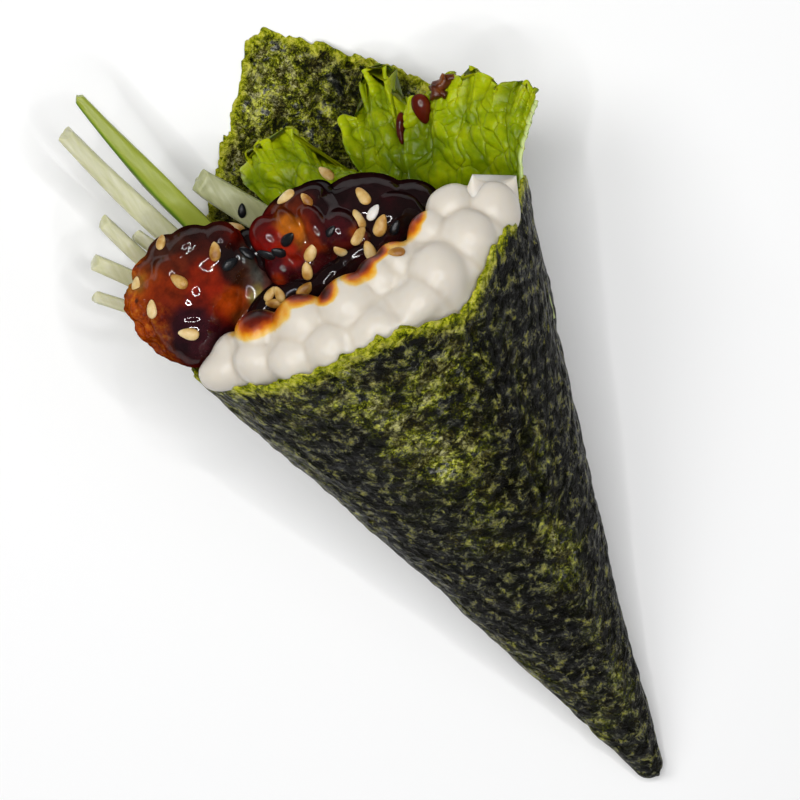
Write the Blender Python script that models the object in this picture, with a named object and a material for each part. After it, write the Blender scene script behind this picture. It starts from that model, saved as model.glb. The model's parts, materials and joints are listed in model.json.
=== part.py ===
"""Temaki hand roll: toasted nori rolled into a cone round glazed fish, cream cheese and greens.

The roll lies on its back. The line where its wall rests on the table runs along +Y, from the
closed tip to the open mouth; +X is to the right seen from above, and +Z is up. Sizes are in
millimetres and degrees, and a mesh is made in metres. An angle round the cone starts at the
table line and turns towards +X, so 180 is the top of the roll. A slant is a distance from the
cone's apex along its wall.
"""

import math

import bmesh
import bpy
import numpy as np
from mathutils import Vector

MM = 0.001
GAP = 0.3  # kept between neighbouring pieces
SHARP_EDGE = math.radians(50.0)  # a steeper turn between two faces stays sharp

# The rolled cone
HALF_ANGLE = math.radians(15.3)  # between the axis and the wall
APEX = np.array((0.65, -8.0, -0.5))  # where the straight walls would meet, past the tip
TIP_RADIUS = 2.5
RIM_SLANT = 115.9  # from the apex to the rim, measured along the wall
WALL = 1.0  # the rolled layers together
WAIST = 0.95  # how far the wall is drawn in, between the tip and the rim
WAIST_LEAN = 0.8  # under 1 puts the deepest place nearer the tip
CAVITY_SLANT = 34.0  # the fillings reach down to here
COLUMNS = 54
TIP_RINGS = (25.0, 55.0)  # degrees from the axis, over the rounded tip
OUTER_ROWS = (0.0, 0.08, 0.2, 0.36, 0.54, 0.72, 0.88, 1.0)  # shares of the way up the outer face
INNER_ROWS = (1.0, 0.85, 0.7, 0.5, 0.25, 0.0)  # shares of the way down the inner face
SEAM_ANGLE = 160.0  # the sheet's outer end lies here, over the layer beneath
SEAM_STEP = 0.6
SEAM_WIDTH = 0.6  # degrees taken by the step itself
SEAM_AT_TIP = 0.3  # share of the step left at the tip
SEAM_GROWTH = 2.0  # how fast the step grows with the share of the way up
RIDGE_HEIGHT = 0.8  # the soft fold beside the seam
RIDGE_WIDTH = 14.0
TABLE_WIDTH = 50.0  # degrees each side of the table line where the wall stays straight
# Where the rim dips or swells, as (angle, width, height)
RIM_SWELLS = ((160.0, 13.0, -4.2), (108.0, 12.0, 2.6), (246.0, 9.0, 2.2))

# The sheet's free corner, which lies on the table in front of the mouth
FLAP_SLANT = 149.0
FLAP_CORNER = 150.4  # where its two straight edges would meet
FLAP_SIDE = 6.3  # the corner's distance to the right of the table line
FLAP_REACH = 75.0  # degrees each side of the table line

# How the mouth is shared out, in parts of the radius inside the wall
FISH_TOP = 0.42
FISH_BOTTOM = -0.2
FISH_SPLIT = -0.38
FISH_RIGHT_END = 0.78
FISH_SIDE = 0.86  # the fish inside the cone stays this close to the axis
WEDGE_ROWS = 3
CELL_REACH = 2.6
CELL_SLANTS = (30.0, 160.0)

# Piped cream: pearls along the front rim, as (x, y, z, radius across, radius along)
CREAM_START, CREAM_END = 36.0, 112.5
CREAM_ARC_POINTS = 13
PEARLS = (
    (-24.6, 98.0, 45.0, 4.4, 3.0),
    (-19.6, 97.3, 48.5, 3.2, 3.2),
    (-17.4, 101.0, 46.8, 3.4, 3.2),
    (-14.7, 95.0, 51.5, 3.3, 3.1),
    (-10.9, 98.6, 49.2, 4.3, 4.2),
    (-9.0, 93.6, 53.6, 3.5, 3.2),
    (-3.2, 97.2, 50.6, 4.7, 4.5),
    (-1.4, 92.6, 54.6, 3.6, 3.0),
    (2.9, 98.2, 49.8, 2.9, 3.7),
    (6.6, 98.6, 48.8, 3.0, 3.8),
    (5.8, 92.6, 53.4, 4.6, 3.4),
    (11.0, 94.6, 51.0, 4.8, 4.6),
    (11.8, 90.6, 53.2, 2.6, 2.4),
    (13.4, 100.8, 46.8, 3.0, 2.9),
    (17.8, 96.8, 48.2, 4.1, 4.1),
    (18.3, 102.2, 45.0, 3.8, 3.0),
)
PEAK_PEARL = (23.4, 99.6, 44.8, 3.9, 4.9)
PEAK_DIRECTION = Vector((-0.45, 0.75, 0.5)).normalized()
PEAK_PULL = 0.45
PEAK_SHARPNESS = 6
SIDE_PEARL = (27.0, 101.4, 40.6, 2.7, 2.8)
PEARL_SIDES, PEARL_RINGS = 9, 6

# Glazed fish: lumps past the mouth, as (x, y, z, radius x, radius y, radius z)
FISH_START, FISH_END = 50.0, 112.0
LEFT_LUMPS = (
    (-23.2, 110.6, 35.0, 11.2, 10.8, 9.0),
    (-28.3, 108.6, 32.4, 7.4, 7.6, 7.4),
    (-19.0, 115.0, 35.6, 8.4, 6.8, 7.6),
    (-15.4, 106.6, 34.0, 6.0, 6.6, 6.8),
    (-19.0, 99.0, 31.4, 8.5, 7.0, 6.6),
)
RIGHT_LUMPS = (
    (-3.0, 109.0, 36.4, 8.6, 8.4, 8.4),
    (-7.4, 103.4, 34.4, 5.6, 5.0, 6.0),
    (5.6, 107.0, 35.6, 8.8, 7.6, 7.6),
    (12.6, 104.6, 34.2, 5.6, 4.8, 6.4),
    (4.6, 99.4, 31.8, 13.5, 7.0, 7.0),
)
LUMP_RELIEF = 0.05
LUMP_WAVES = ((4.1, 2.0, 0.0), (0.0, 3.3, -2.7))  # radians for each radius, along x, y and z
LUMP_SIDES, LUMP_RINGS = 14, 9

# Cucumber sticks: (tip, middle, hidden end, width, thickness, width at the tip)
STICKS = (
    ((-23.3, 146.9, 26.0), (-18.6, 124.0, 22.0), (-10.5, 96.0, 16.6), 3.7, 2.6, 1.7),
    ((-28.4, 143.2, 21.5), (-23.6, 124.0, 18.0), (-14.0, 96.0, 12.8), 3.6, 2.8, 2.7),
    ((-30.2, 128.1, 26.2), (-27.6, 118.4, 24.4), (-21.0, 101.0, 21.2), 2.6, 2.4, 2.3),
    ((-26.9, 123.4, 22.6), (-24.4, 117.4, 21.6), (-19.8, 106.0, 19.8), 2.2, 2.2, 2.0),
    ((-34.9, 122.8, 21.4), (-31.0, 117.2, 20.4), (-20.4, 102.0, 17.6), 2.7, 2.5, 2.6),
    ((-37.9, 118.2, 21.0), (-34.8, 114.6, 20.4), (-24.6, 103.6, 18.8), 2.0, 2.2, 1.9),
    ((-13.7, 125.6, 22.2), (-9.0, 116.6, 20.4), (1.0, 98.0, 17.2), 5.3, 3.4, 4.7),
)
STICK_CORNER = 0.28  # of the smaller side
STICK_RINGS = 6
STICK_TAPER = 1.0 / 3.0  # share of the length over which the tip widens

# Lettuce: leaves that line the wall, then spread past the mouth
LEAF_START = 52.0
LEAF_MOUTH = 119.4  # clear of the rim's highest swell
LEAF_THICKNESS = 1.1
LEAF_LIFT = 0.6  # off the inner wall
LEAF_COLUMNS = 20
LEAF_ROWS_INSIDE, LEAF_ROWS_OUTSIDE = 3, 7
FRILL_SIDEWAYS, FRILL_OUTWARDS = 0.2, 0.5  # of the ruffle's height
FRILL_ONSET = 1.5  # over 1 keeps the ruffle near the margin
LEAVES = {
    "lettuce_right": {
        "angles": (33.0, 101.0),
        "crown": ((23.4, 116.8, 17.5), (40.4, 107.2, 34.0)),
        "bulge": 6.6,
        "waves": 3.5,
        "ruffle": 1.5,
        "phase": 0.6,
    },
    "lettuce_middle": {
        "angles": (18.0, 30.0),
        "crown": ((9.4, 121.6, 10.0), (21.0, 122.6, 12.5)),
        "bulge": 3.6,
        "waves": 2.0,
        "ruffle": 1.9,
        "phase": 2.2,
    },
    "lettuce_left": {
        "angles": (-13.0, 15.0),
        "crown": ((-7.4, 121.6, 9.5), (7.4, 118.4, 9.0)),
        "bulge": 4.2,
        "waves": 3.0,
        "ruffle": 2.2,
        "phase": 4.0,
    },
}

AXIS = np.array((0.0, math.cos(HALF_ANGLE), math.sin(HALF_ANGLE)))
ACROSS = np.array((1.0, 0.0, 0.0))
UPWARD = np.array((0.0, -math.sin(HALF_ANGLE), math.cos(HALF_ANGLE)))


def swell(angle, centre, width):
    """A smooth bump of height 1 at the centre angle."""
    off = (angle - centre + 180.0) % 360.0 - 180.0
    return math.exp(-((off / width) ** 2))


def round_the_cone(angle):
    """The unit direction from the axis towards this angle of the wall."""
    turn = math.radians(angle)
    return math.sin(turn) * ACROSS - math.cos(turn) * UPWARD


def wall_point(slant, angle, lift=0.0):
    """The point this far from the apex along the wall, lifted off its outer face."""
    outwards = round_the_cone(angle)
    along = math.cos(HALF_ANGLE) * AXIS + math.sin(HALF_ANGLE) * outwards
    normal = math.cos(HALF_ANGLE) * outwards - math.sin(HALF_ANGLE) * AXIS
    return APEX + slant * along + lift * normal


def waist(slant):
    """How far the wall is drawn in at this slant: nothing at the tip and the rim, most between."""
    start = TIP_RADIUS / math.tan(HALF_ANGLE)
    share = min(1.0, max(0.0, (slant - start) / (RIM_SLANT - start)))
    return WAIST * math.sin(math.pi * share**WAIST_LEAN)


def inner_radius(distance):
    """The radius inside the wall, this far along the axis."""
    drawn_in = WALL + waist(distance / math.cos(HALF_ANGLE))
    return distance * math.tan(HALF_ANGLE) - drawn_in / math.cos(HALF_ANGLE)


def section_point(distance, across, upward):
    """A point of the cross-section this far along the axis."""
    return APEX + distance * AXIS + across * ACROSS + upward * UPWARD


def tube(rings):
    """The points of rings of equal length, and the faces between each ring and the next."""
    count = len(rings[0])
    points = [point for ring in rings for point in ring]
    faces = []
    for row in range(len(rings) - 1):
        low, high = row * count, (row + 1) * count
        for i in range(count):
            j = (i + 1) % count
            faces.append((low + i, low + j, high + j, high + i))
    return points, faces


def loft(rings):
    """Closes rings of equal length into a skin, with a fan over each end."""
    count = len(rings[0])
    points, faces = tube(rings)
    last = len(points) - count
    points += [np.mean(rings[0], axis=0), np.mean(rings[-1], axis=0)]
    for i in range(count):
        j = (i + 1) % count
        faces += [(j, i, len(points) - 2), (last + i, last + j, len(points) - 1)]
    return points, faces


def sheet_loft(rings):
    """The same for a thick sheet, with a strip over each end from its lower side to its upper."""
    count = len(rings[0])
    points, faces = tube(rings)
    last = len(points) - count
    for i in range(count // 2 - 1):
        j = count - 1 - i
        faces += [(i + 1, i, j, j - 1), (last + i, last + i + 1, last + j - 1, last + j)]
    return points, faces


def new_material(name, colour, roughness):
    material = bpy.data.materials.new(name)
    material.use_nodes = True
    shader = material.node_tree.nodes["Principled BSDF"]
    shader.inputs["Base Color"].default_value = (*colour, 1.0)
    shader.inputs["Roughness"].default_value = roughness
    shader.inputs["Metallic"].default_value = 0.0
    material.diffuse_color = (*colour, 1.0)
    return material


def new_object(name, points, faces, material=None):
    """A mesh object, its points given in millimetres and its faces turned outwards."""
    mesh = bpy.data.meshes.new(name)
    mesh.from_pydata([tuple(np.asarray(point) * MM) for point in points], [], faces)
    skin = bmesh.new()
    skin.from_mesh(mesh)
    if skin.calc_volume(signed=True) < 0.0:
        bmesh.ops.reverse_faces(skin, faces=skin.faces)
    skin.to_mesh(mesh)
    skin.free()
    mesh.shade_smooth()
    mesh.set_sharp_from_angle(angle=SHARP_EDGE)
    obj = bpy.data.objects.new(name, mesh)
    bpy.context.scene.collection.objects.link(obj)
    if material:
        mesh.materials.append(material)
    return obj


def as_cutter(obj, collection=None):
    """Keeps a helper shape out of the model."""
    obj.hide_render = True
    obj.display_type = "WIRE"
    if collection:
        bpy.context.scene.collection.objects.unlink(obj)
        collection.objects.link(obj)
    return obj


def combine(obj, operation, other):
    """Adds a Boolean with one object, or with every object of a collection."""
    modifier = obj.modifiers.new(operation.title(), "BOOLEAN")
    modifier.operation = operation
    modifier.solver = "EXACT"
    if isinstance(other, bpy.types.Collection):
        modifier.operand_type = "COLLECTION"
        modifier.collection = other
    else:
        modifier.object = other


def new_collection(name):
    collection = bpy.data.collections.new(name)
    bpy.context.scene.collection.children.link(collection)
    return collection


def flap_slant(angle):
    """How far the free corner of the sheet reaches, where its two edges meet at a right angle."""
    if abs(angle) > FLAP_REACH:
        return 0.0
    turn = math.radians(angle) * math.sin(HALF_ANGLE)
    right = (FLAP_CORNER + FLAP_SIDE) / (math.cos(turn) + math.sin(turn))
    left = (FLAP_CORNER - FLAP_SIDE) / (math.cos(turn) - math.sin(turn))
    return min(left, right, FLAP_SLANT / math.cos(turn))


def rim_slant(angle):
    """How far the sheet reaches at this angle: the uneven rim, or the flap where it is longer."""
    swells = [height * swell(angle, centre, width) for centre, width, height in RIM_SWELLS]
    rim = RIM_SLANT + sum(swells)
    return max(rim, flap_slant((angle + 180.0) % 360.0 - 180.0))


def wrap_rings(grow=0.0):
    """Rings up the outside of the wrap from its tip, over the rim and down inside it."""
    turns = [i / COLUMNS for i in range(COLUMNS)] + [1.0 - SEAM_WIDTH / 360.0]
    angles = [SEAM_ANGLE + 360.0 * turn for turn in turns]
    skins = [
        grow + SEAM_STEP * (1.0 - turn) + RIDGE_HEIGHT * swell(angle, SEAM_ANGLE, RIDGE_WIDTH)
        for turn, angle in zip(turns, angles)
    ]
    rings = []
    tip_centre = APEX + TIP_RADIUS / math.sin(HALF_ANGLE) * AXIS
    for polar in TIP_RINGS:
        tilt = math.radians(polar)
        radius = TIP_RADIUS + grow
        rings.append([
            tip_centre + radius * (math.sin(tilt) * round_the_cone(angle) - math.cos(tilt) * AXIS)
            for angle in angles
        ])
    start = TIP_RADIUS / math.tan(HALF_ANGLE)
    for share in OUTER_ROWS:
        fade = min(1.0, SEAM_AT_TIP + SEAM_GROWTH * share)
        ring = []
        for angle, skin in zip(angles, skins):
            slant = start + share * (rim_slant(angle) + grow - start)
            above_table = 1.0 - swell(angle, 0.0, TABLE_WIDTH)
            ring.append(wall_point(slant, angle, skin * fade - waist(slant) * above_table))
        rings.append(ring)
    for share in INNER_ROWS:
        ring = []
        for angle in angles:
            slant = CAVITY_SLANT - grow + share * (rim_slant(angle) + 2 * grow - CAVITY_SLANT)
            ring.append(wall_point(slant, angle, -WALL - grow - waist(slant)))
        rings.append(ring)
    if grow == 0.0:
        for point in (point for ring in rings for point in ring):
            point[2] = max(point[2], 0.0)
    return rings


def make_wrap(material):
    new_object("nori_wrap", *loft(wrap_rings()), material)


def inset(outline, distance):
    """A convex outline, listed anticlockwise, with every side moved inwards."""
    corners = []
    befores, afters = np.roll(outline, 1, axis=0), np.roll(outline, -1, axis=0)
    for before, here, after in zip(befores, outline, afters):
        first, second = here - before, after - here
        first, second = first / np.linalg.norm(first), second / np.linalg.norm(second)
        inwards = np.array((-first[1] - second[1], first[0] + second[0]))
        corners.append(here + distance * inwards / (1.0 + first @ second))
    return corners


def wedge(name, outline, distances, gap, material=None):
    """A length of filling whose cross-section keeps its share of the mouth down the cone."""
    rings = []
    for distance in distances:
        scaled = np.array(outline) * inner_radius(distance)
        rings.append([section_point(distance, *corner) for corner in inset(scaled, gap)])
    return new_object(name, *loft(rings), material)


def cell(name, left, right, low, high):
    """A cutter that holds one filling's share of the mouth."""
    outline = ((left, low), (right, low), (right, high), (left, high))
    return as_cutter(wedge(name, outline, CELL_SLANTS, GAP / 2))


def arc_outline(first, last, count):
    """Points of the unit circle between two angles, in degrees anticlockwise from the right."""
    return [
        (math.cos(math.radians(angle)), math.sin(math.radians(angle)))
        for angle in np.linspace(first, last, count)
    ]


def pearl(name, centre, across, along, collection, pull=0.0):
    """A piped blob, drawn out to a peak where it is pulled."""
    ball = bmesh.new()
    bmesh.ops.create_uvsphere(ball, u_segments=PEARL_SIDES, v_segments=PEARL_RINGS, radius=1.0)
    height = (across + along) / 2
    for vertex in ball.verts:
        stretch = 1.0 + pull * max(0.0, vertex.co.dot(PEAK_DIRECTION)) ** PEAK_SHARPNESS
        grown = Vector((vertex.co.x * across, vertex.co.y * along, vertex.co.z * height))
        vertex.co = (stretch * grown + Vector(centre)) * MM
    mesh = bpy.data.meshes.new(name)
    ball.to_mesh(mesh)
    ball.free()
    obj = bpy.data.objects.new(name, mesh)
    bpy.context.scene.collection.objects.link(obj)
    return as_cutter(obj, collection)


def make_cream(material, wrap_cutter):
    low = math.degrees(math.asin(FISH_TOP))
    cream = wedge(
        "piped_cream",
        arc_outline(low, 180.0 - low, CREAM_ARC_POINTS),
        np.linspace(CREAM_START, CREAM_END, WEDGE_ROWS),
        GAP,
        material,
    )
    blobs = new_collection("cream_pearls")
    for i, (x, y, z, across, along) in enumerate(PEARLS + (SIDE_PEARL,)):
        pearl(f"pearl_{i + 1}", (x, y, z), across, along, blobs)
    pearl("pearl_peak", PEAK_PEARL[:3], *PEAK_PEARL[3:], blobs, PEAK_PULL)
    combine(cream, "UNION", blobs)
    combine(cream, "INTERSECT", cell("cream_cell", -CELL_REACH, CELL_REACH, FISH_TOP, CELL_REACH))
    combine(cream, "DIFFERENCE", wrap_cutter)


def lump(name, centre, radii, collection):
    """An uneven rounded lump: an ellipsoid with slow waves in its radius."""
    ball = bmesh.new()
    bmesh.ops.create_uvsphere(ball, u_segments=LUMP_SIDES, v_segments=LUMP_RINGS, radius=1.0)
    for vertex in ball.verts:
        turns = [vertex.co.dot(Vector(wave)) + centre[i] for i, wave in enumerate(LUMP_WAVES)]
        stretch = 1.0 + LUMP_RELIEF * sum(math.sin(turn) for turn in turns)
        vertex.co = Vector([c + stretch * r * k for c, r, k in zip(centre, radii, vertex.co)]) * MM
    mesh = bpy.data.meshes.new(name)
    ball.to_mesh(mesh)
    ball.free()
    obj = bpy.data.objects.new(name, mesh)
    bpy.context.scene.collection.objects.link(obj)
    return as_cutter(obj, collection)


def make_fish(name, left, right, lumps, material, wrap_cutter):
    """One chunk of fish: a wedge down in the cone, and the lumps of it that show."""
    root_left, root_right = max(left, -FISH_SIDE), min(right, FISH_SIDE)
    outline = (
        (root_left, FISH_BOTTOM),
        (root_right, FISH_BOTTOM),
        (root_right, FISH_TOP),
        (root_left, FISH_TOP),
    )
    fish = wedge(name, outline, np.linspace(FISH_START, FISH_END, WEDGE_ROWS), GAP, material)
    blobs = new_collection(f"{name}_lumps")
    for i, blob in enumerate(lumps):
        lump(f"{name}_lump_{i + 1}", blob[:3], blob[3:], blobs)
    combine(fish, "UNION", blobs)
    combine(fish, "INTERSECT", cell(f"{name}_cell", left, right, FISH_BOTTOM, FISH_TOP))
    combine(fish, "DIFFERENCE", wrap_cutter)


def make_stick(name, tip, middle, end, width, thickness, tip_width, material):
    """A cut stick with eased corners along a gently bent path."""
    tip, middle, end = (np.array(point) for point in (tip, middle, end))
    shown, hidden = np.linalg.norm(middle - tip), np.linalg.norm(end - middle)
    part = shown / (shown + hidden)
    bend = (middle - (1 - part) ** 2 * tip - part**2 * end) / (2 * part * (1 - part))
    rings = []
    for share in np.linspace(0.0, 1.0, STICK_RINGS):
        centre = (1 - share) ** 2 * tip + 2 * share * (1 - share) * bend + share**2 * end
        forward = 2 * (1 - share) * (bend - tip) + 2 * share * (end - bend)
        sideways = np.cross(forward, (0.0, 0.0, 1.0))
        sideways = sideways / np.linalg.norm(sideways)
        upright = np.cross(sideways, forward / np.linalg.norm(forward))
        half_width = (tip_width + (width - tip_width) * min(1.0, share / STICK_TAPER)) / 2
        half_height = thickness / 2
        ease = STICK_CORNER * 2 * min(half_width, half_height)
        corners = []
        for right, up in ((1, 1), (-1, 1), (-1, -1), (1, -1)):
            inner_first = (right * half_width, up * (half_height - ease))
            inner_second = (right * (half_width - ease), up * half_height)
            corners += [inner_first, inner_second] if right == up else [inner_second, inner_first]
        rings.append([centre + across * sideways + rise * upright for across, rise in corners])
    new_object(name, *loft(rings), material)


def leaf_rings(angles, crown, bulge, waves, ruffle, phase):
    """Rings round a thick leaf, from its hidden foot out to the frilled margin."""
    left, right = (np.array(end) for end in crown)
    along = (right - left) / np.linalg.norm(right - left)
    upright = np.cross(along, AXIS)
    upright = upright / np.linalg.norm(upright)
    shares = np.linspace(0.0, 1.0, LEAF_COLUMNS)
    lift = -WALL - GAP - LEAF_LIFT
    rows = [(slant, 0.0) for slant in np.linspace(LEAF_START, LEAF_MOUTH, LEAF_ROWS_INSIDE)]
    rows += [(LEAF_MOUTH, out) for out in np.linspace(0.0, 1.0, LEAF_ROWS_OUTSIDE + 1)[1:]]
    rings = []
    for slant, out in rows:
        under, over = [], []
        for share in shares:
            angle = angles[0] + (angles[1] - angles[0]) * share
            below = wall_point(slant, angle, lift - waist(slant))
            above = wall_point(slant, angle, lift - waist(slant) - LEAF_THICKNESS)
            outwards = bulge * math.sin(math.pi * share)
            edge = left + (right - left) * share + np.array((0.0, outwards, 0.0))
            turn = 2 * math.pi * waves * share + phase
            frill = math.sin(turn) * upright + FRILL_SIDEWAYS * math.cos(turn) * along
            frill = ruffle * out**FRILL_ONSET * (frill + FRILL_OUTWARDS * math.sin(2 * turn) * AXIS)
            middle = (1 - out) * (below + above) / 2 + out * edge + frill
            half = (1 - out) * (above - below) + out * LEAF_THICKNESS * upright
            half = half / np.linalg.norm(half) * LEAF_THICKNESS / 2
            under.append(middle - half)
            over.append(middle + half)
        rings.append(under + over[::-1])
    return rings


def make_leaf(name, shape, material):
    new_object(name, *sheet_loft(leaf_rings(**shape)), material)


def rest_on_table():
    """Puts the middle of the roll's footprint at the origin, with every piece on one empty."""
    bpy.context.view_layer.update()
    graph = bpy.context.evaluated_depsgraph_get()
    pieces = [obj for obj in bpy.data.objects if obj.type == "MESH" and not obj.hide_render]
    corners = []
    for piece in pieces:
        mesh = piece.evaluated_get(graph).to_mesh()
        corners += [vertex.co.copy() for vertex in mesh.vertices]
        piece.evaluated_get(graph).to_mesh_clear()
    lowest = Vector([min(corner[i] for corner in corners) for i in range(3)])
    highest = Vector([max(corner[i] for corner in corners) for i in range(3)])
    middle = (lowest + highest) / 2
    roll = bpy.data.objects.new("roll", None)
    roll.location = (-middle.x, -middle.y, -lowest.z)
    bpy.context.scene.collection.objects.link(roll)
    for obj in bpy.data.objects:
        if obj.type == "MESH":
            obj.parent = roll


def main():
    for obj in list(bpy.data.objects):
        bpy.data.objects.remove(obj)
    nori = new_material("toasted_nori", (0.012, 0.018, 0.006), 0.45)
    cream = new_material("cream_cheese", (0.80, 0.76, 0.66), 0.35)
    fish = new_material("glazed_fish", (0.16, 0.02, 0.008), 0.15)
    cucumber = new_material("cucumber", (0.62, 0.70, 0.42), 0.35)
    lettuce = new_material("lettuce", (0.25, 0.42, 0.01), 0.4)
    make_wrap(nori)
    wrap_cutter = as_cutter(new_object("wrap_cutter", *loft(wrap_rings(GAP))))
    make_cream(cream, wrap_cutter)
    make_fish("glazed_fish_left", -CELL_REACH, FISH_SPLIT, LEFT_LUMPS, fish, wrap_cutter)
    make_fish("glazed_fish_right", FISH_SPLIT, FISH_RIGHT_END, RIGHT_LUMPS, fish, wrap_cutter)
    for i, stick in enumerate(STICKS):
        make_stick(f"cucumber_stick_{i + 1}", *stick, cucumber)
    for name, shape in LEAVES.items():
        make_leaf(name, shape, lettuce)
    rest_on_table()


main()
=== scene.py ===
"""Looks of a temaki hand roll that lies on its side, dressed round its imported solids.

Shapes are worked out in the roll's own millimetres: the table line, where the wall lies on the
table, runs along +Y from the closed tip to the mouth, +X is to the right seen from above and +Z
is up. An angle round the cone starts at the table line and turns towards +X, so 180 is the top.
A slant is a distance from the cone's apex along its wall.
"""

import itertools
import json
import math

import bpy
import numpy as np
from mathutils import Matrix, Vector
from mathutils.bvhtree import BVHTree

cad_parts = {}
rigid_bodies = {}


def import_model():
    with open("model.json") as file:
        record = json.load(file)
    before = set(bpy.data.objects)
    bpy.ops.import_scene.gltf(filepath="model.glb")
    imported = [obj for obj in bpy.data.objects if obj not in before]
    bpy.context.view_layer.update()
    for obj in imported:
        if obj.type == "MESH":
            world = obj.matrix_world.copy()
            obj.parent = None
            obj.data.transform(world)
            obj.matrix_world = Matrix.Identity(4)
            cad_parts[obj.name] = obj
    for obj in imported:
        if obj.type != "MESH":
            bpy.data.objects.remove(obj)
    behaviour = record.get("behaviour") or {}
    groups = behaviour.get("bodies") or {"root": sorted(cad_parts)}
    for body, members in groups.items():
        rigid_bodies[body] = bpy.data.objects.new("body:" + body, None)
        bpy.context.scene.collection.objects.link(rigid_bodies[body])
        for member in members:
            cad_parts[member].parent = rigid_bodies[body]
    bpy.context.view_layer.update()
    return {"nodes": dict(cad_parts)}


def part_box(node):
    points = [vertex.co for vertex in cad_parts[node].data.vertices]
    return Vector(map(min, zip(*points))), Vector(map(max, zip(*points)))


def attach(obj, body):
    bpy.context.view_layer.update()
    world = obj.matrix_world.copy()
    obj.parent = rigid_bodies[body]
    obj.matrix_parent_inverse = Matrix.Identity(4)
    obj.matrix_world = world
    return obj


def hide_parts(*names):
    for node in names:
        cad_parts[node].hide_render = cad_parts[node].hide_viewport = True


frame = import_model()


# ---------------------------------------------------------------- the rolled sheet, outer turn
# Half a sheet of toasted nori, seaweed felted on a mat and dried like paper, rolled into a cone.
# The outer turn runs from the pinched tip to the rim, and the fillings hold it round.
MM = 0.001
HALF_ANGLE = math.radians(15.3)  # between the axis and the wall
TIP_RADIUS = 2.5
TIP_RING = math.radians(25.0)  # the solid's first ring over the rounded tip
APEX_RISE = -0.5  # the roll's own weight presses it this far into a flat strip
RIM_SLANT = 115.9
WAIST = 0.95  # how far the wall is drawn in between the tip and the rim
WAIST_LEAN = 0.8
SEAM_ANGLE, SEAM_STEP, SEAM_WIDTH = 160.0, 0.6, 0.6
RIDGE_HEIGHT, RIDGE_WIDTH = 0.8, 14.0
TABLE_WIDTH = 50.0
RIM_SWELLS = ((160.0, 13.0, -4.2), (108.0, 12.0, 2.6), (246.0, 9.0, 2.2))
SHEET = 0.5  # one turn of the sheet, moist from the fillings
OUTER_COLUMNS, OUTER_ROWS = 440, 200
RIM_RAGGED = ((4.4, 0.6), (2.0, 0.8), (0.9, 0.7))  # size of the tears and how deep they go
CRINKLES = ((9.0, 0.3), (3.4, 0.16), (0.9, 0.06))  # size and height of the crinkles
CREASES = ((5.2, 0.4), (2.3, 0.26))  # and of the sharp creases between them
# Patches of tone, partly the sheet's own and partly painted light and shade: lighter over the top, where the light
# falls, and darker down the right side, along the valley by the ridge, on the left side and towards the tip, where
# shade falls.
NORI_TONES_AND_SHADE = (  # slant, angle, size along, size round, how much lighter or darker
    (97.0, 196.0, 12.0, 14.0, 0.035), (107.0, 168.0, 6.0, 10.0, 0.03), (110.0, 222.0, 5.0, 18.0, 0.03),
    (87.0, 190.0, 8.0, 8.0, 0.03), (64.0, 158.0, 12.0, 8.0, 0.03), (86.0, 147.0, 14.0, 5.0, 0.03),
    (101.0, 152.0, 6.0, 5.0, -0.05), (93.0, 157.0, 6.0, 6.0, -0.07), (86.0, 163.0, 6.0, 6.0, -0.06),
    (79.0, 169.0, 7.0, 7.0, -0.06), (70.0, 176.0, 8.0, 8.0, -0.05), (60.0, 188.0, 10.0, 10.0, -0.05),
    (45.0, 186.0, 13.0, 16.0, -0.05), (28.0, 183.0, 14.0, 20.0, -0.06), (12.0, 180.0, 10.0, 60.0, -0.05),
    (70.0, 228.0, 20.0, 20.0, -0.085), (94.0, 226.0, 14.0, 14.0, -0.085), (52.0, 215.0, 28.0, 18.0, -0.05),
    (80.0, 116.0, 60.0, 26.0, -0.13), (50.0, 60.0, 90.0, 50.0, -0.04), (103.0, 133.0, 10.0, 8.0, -0.05),
)
CRUMPLE = (86.0, 160.0, 26.0, 17.0, 1.7)  # slant, angle and sizes of the crumpled part, and how much

wrap_low, wrap_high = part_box("nori_wrap")
wrap_points = np.array([vertex.co for vertex in frame["nodes"]["nori_wrap"].data.vertices])
tip_x = wrap_points[wrap_points[:, 1] < wrap_low.y + MM, 0]
APEX = np.array((
    (tip_x.min() + tip_x.max()) / 2 / MM,
    wrap_low.y / MM - TIP_RADIUS / math.tan(HALF_ANGLE) + TIP_RADIUS * math.cos(TIP_RING - HALF_ANGLE),
    wrap_low.z / MM + APEX_RISE,
))
TABLE_LINE_START = np.array((0.65, -8.0, APEX_RISE))  # the same apex in the roll's millimetres
ROLL_TO_ROW = APEX - TABLE_LINE_START

AXIS = np.array((0.0, math.cos(HALF_ANGLE), math.sin(HALF_ANGLE)))
ACROSS = np.array((1.0, 0.0, 0.0))
UPWARD = np.array((0.0, -math.sin(HALF_ANGLE), math.cos(HALF_ANGLE)))


def ramp(value, low, high):
    """0 below low, 1 above high, and an S-curve between them."""
    share = np.clip((value - low) / (high - low), 0.0, 1.0)
    return share * share * (3.0 - 2.0 * share)


def swell(angle, centre, width):
    """A bump of height 1 at the centre angle: exp(-(angle off it / width) squared)."""
    off = (angle - centre + 180.0) % 360.0 - 180.0
    return np.exp(-((off / width) ** 2))


def lattice_noise(points, size, seed):
    """Random values from -1 to 1 on a cubic lattice of this size, blended by S-curves between."""
    cells = np.asarray(points, float) / size
    base = np.floor(cells).astype(np.int64)
    part = cells - base
    part = part * part * (3.0 - 2.0 * part)
    total = np.zeros(cells.shape[:-1])
    for corner in itertools.product((0, 1), repeat=3):
        key = base + corner
        mixed = key[..., 0] * 73856093 ^ key[..., 1] * 19349663 ^ key[..., 2] * 83492791 ^ seed * 7919
        mixed = (mixed ^ (mixed >> 13)) * 1274126177
        value = ((mixed ^ (mixed >> 16)) & 0xFFFF) / 32767.5 - 1.0
        total += value * np.prod(np.where(corner, part, 1.0 - part), axis=-1)
    return total


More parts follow.
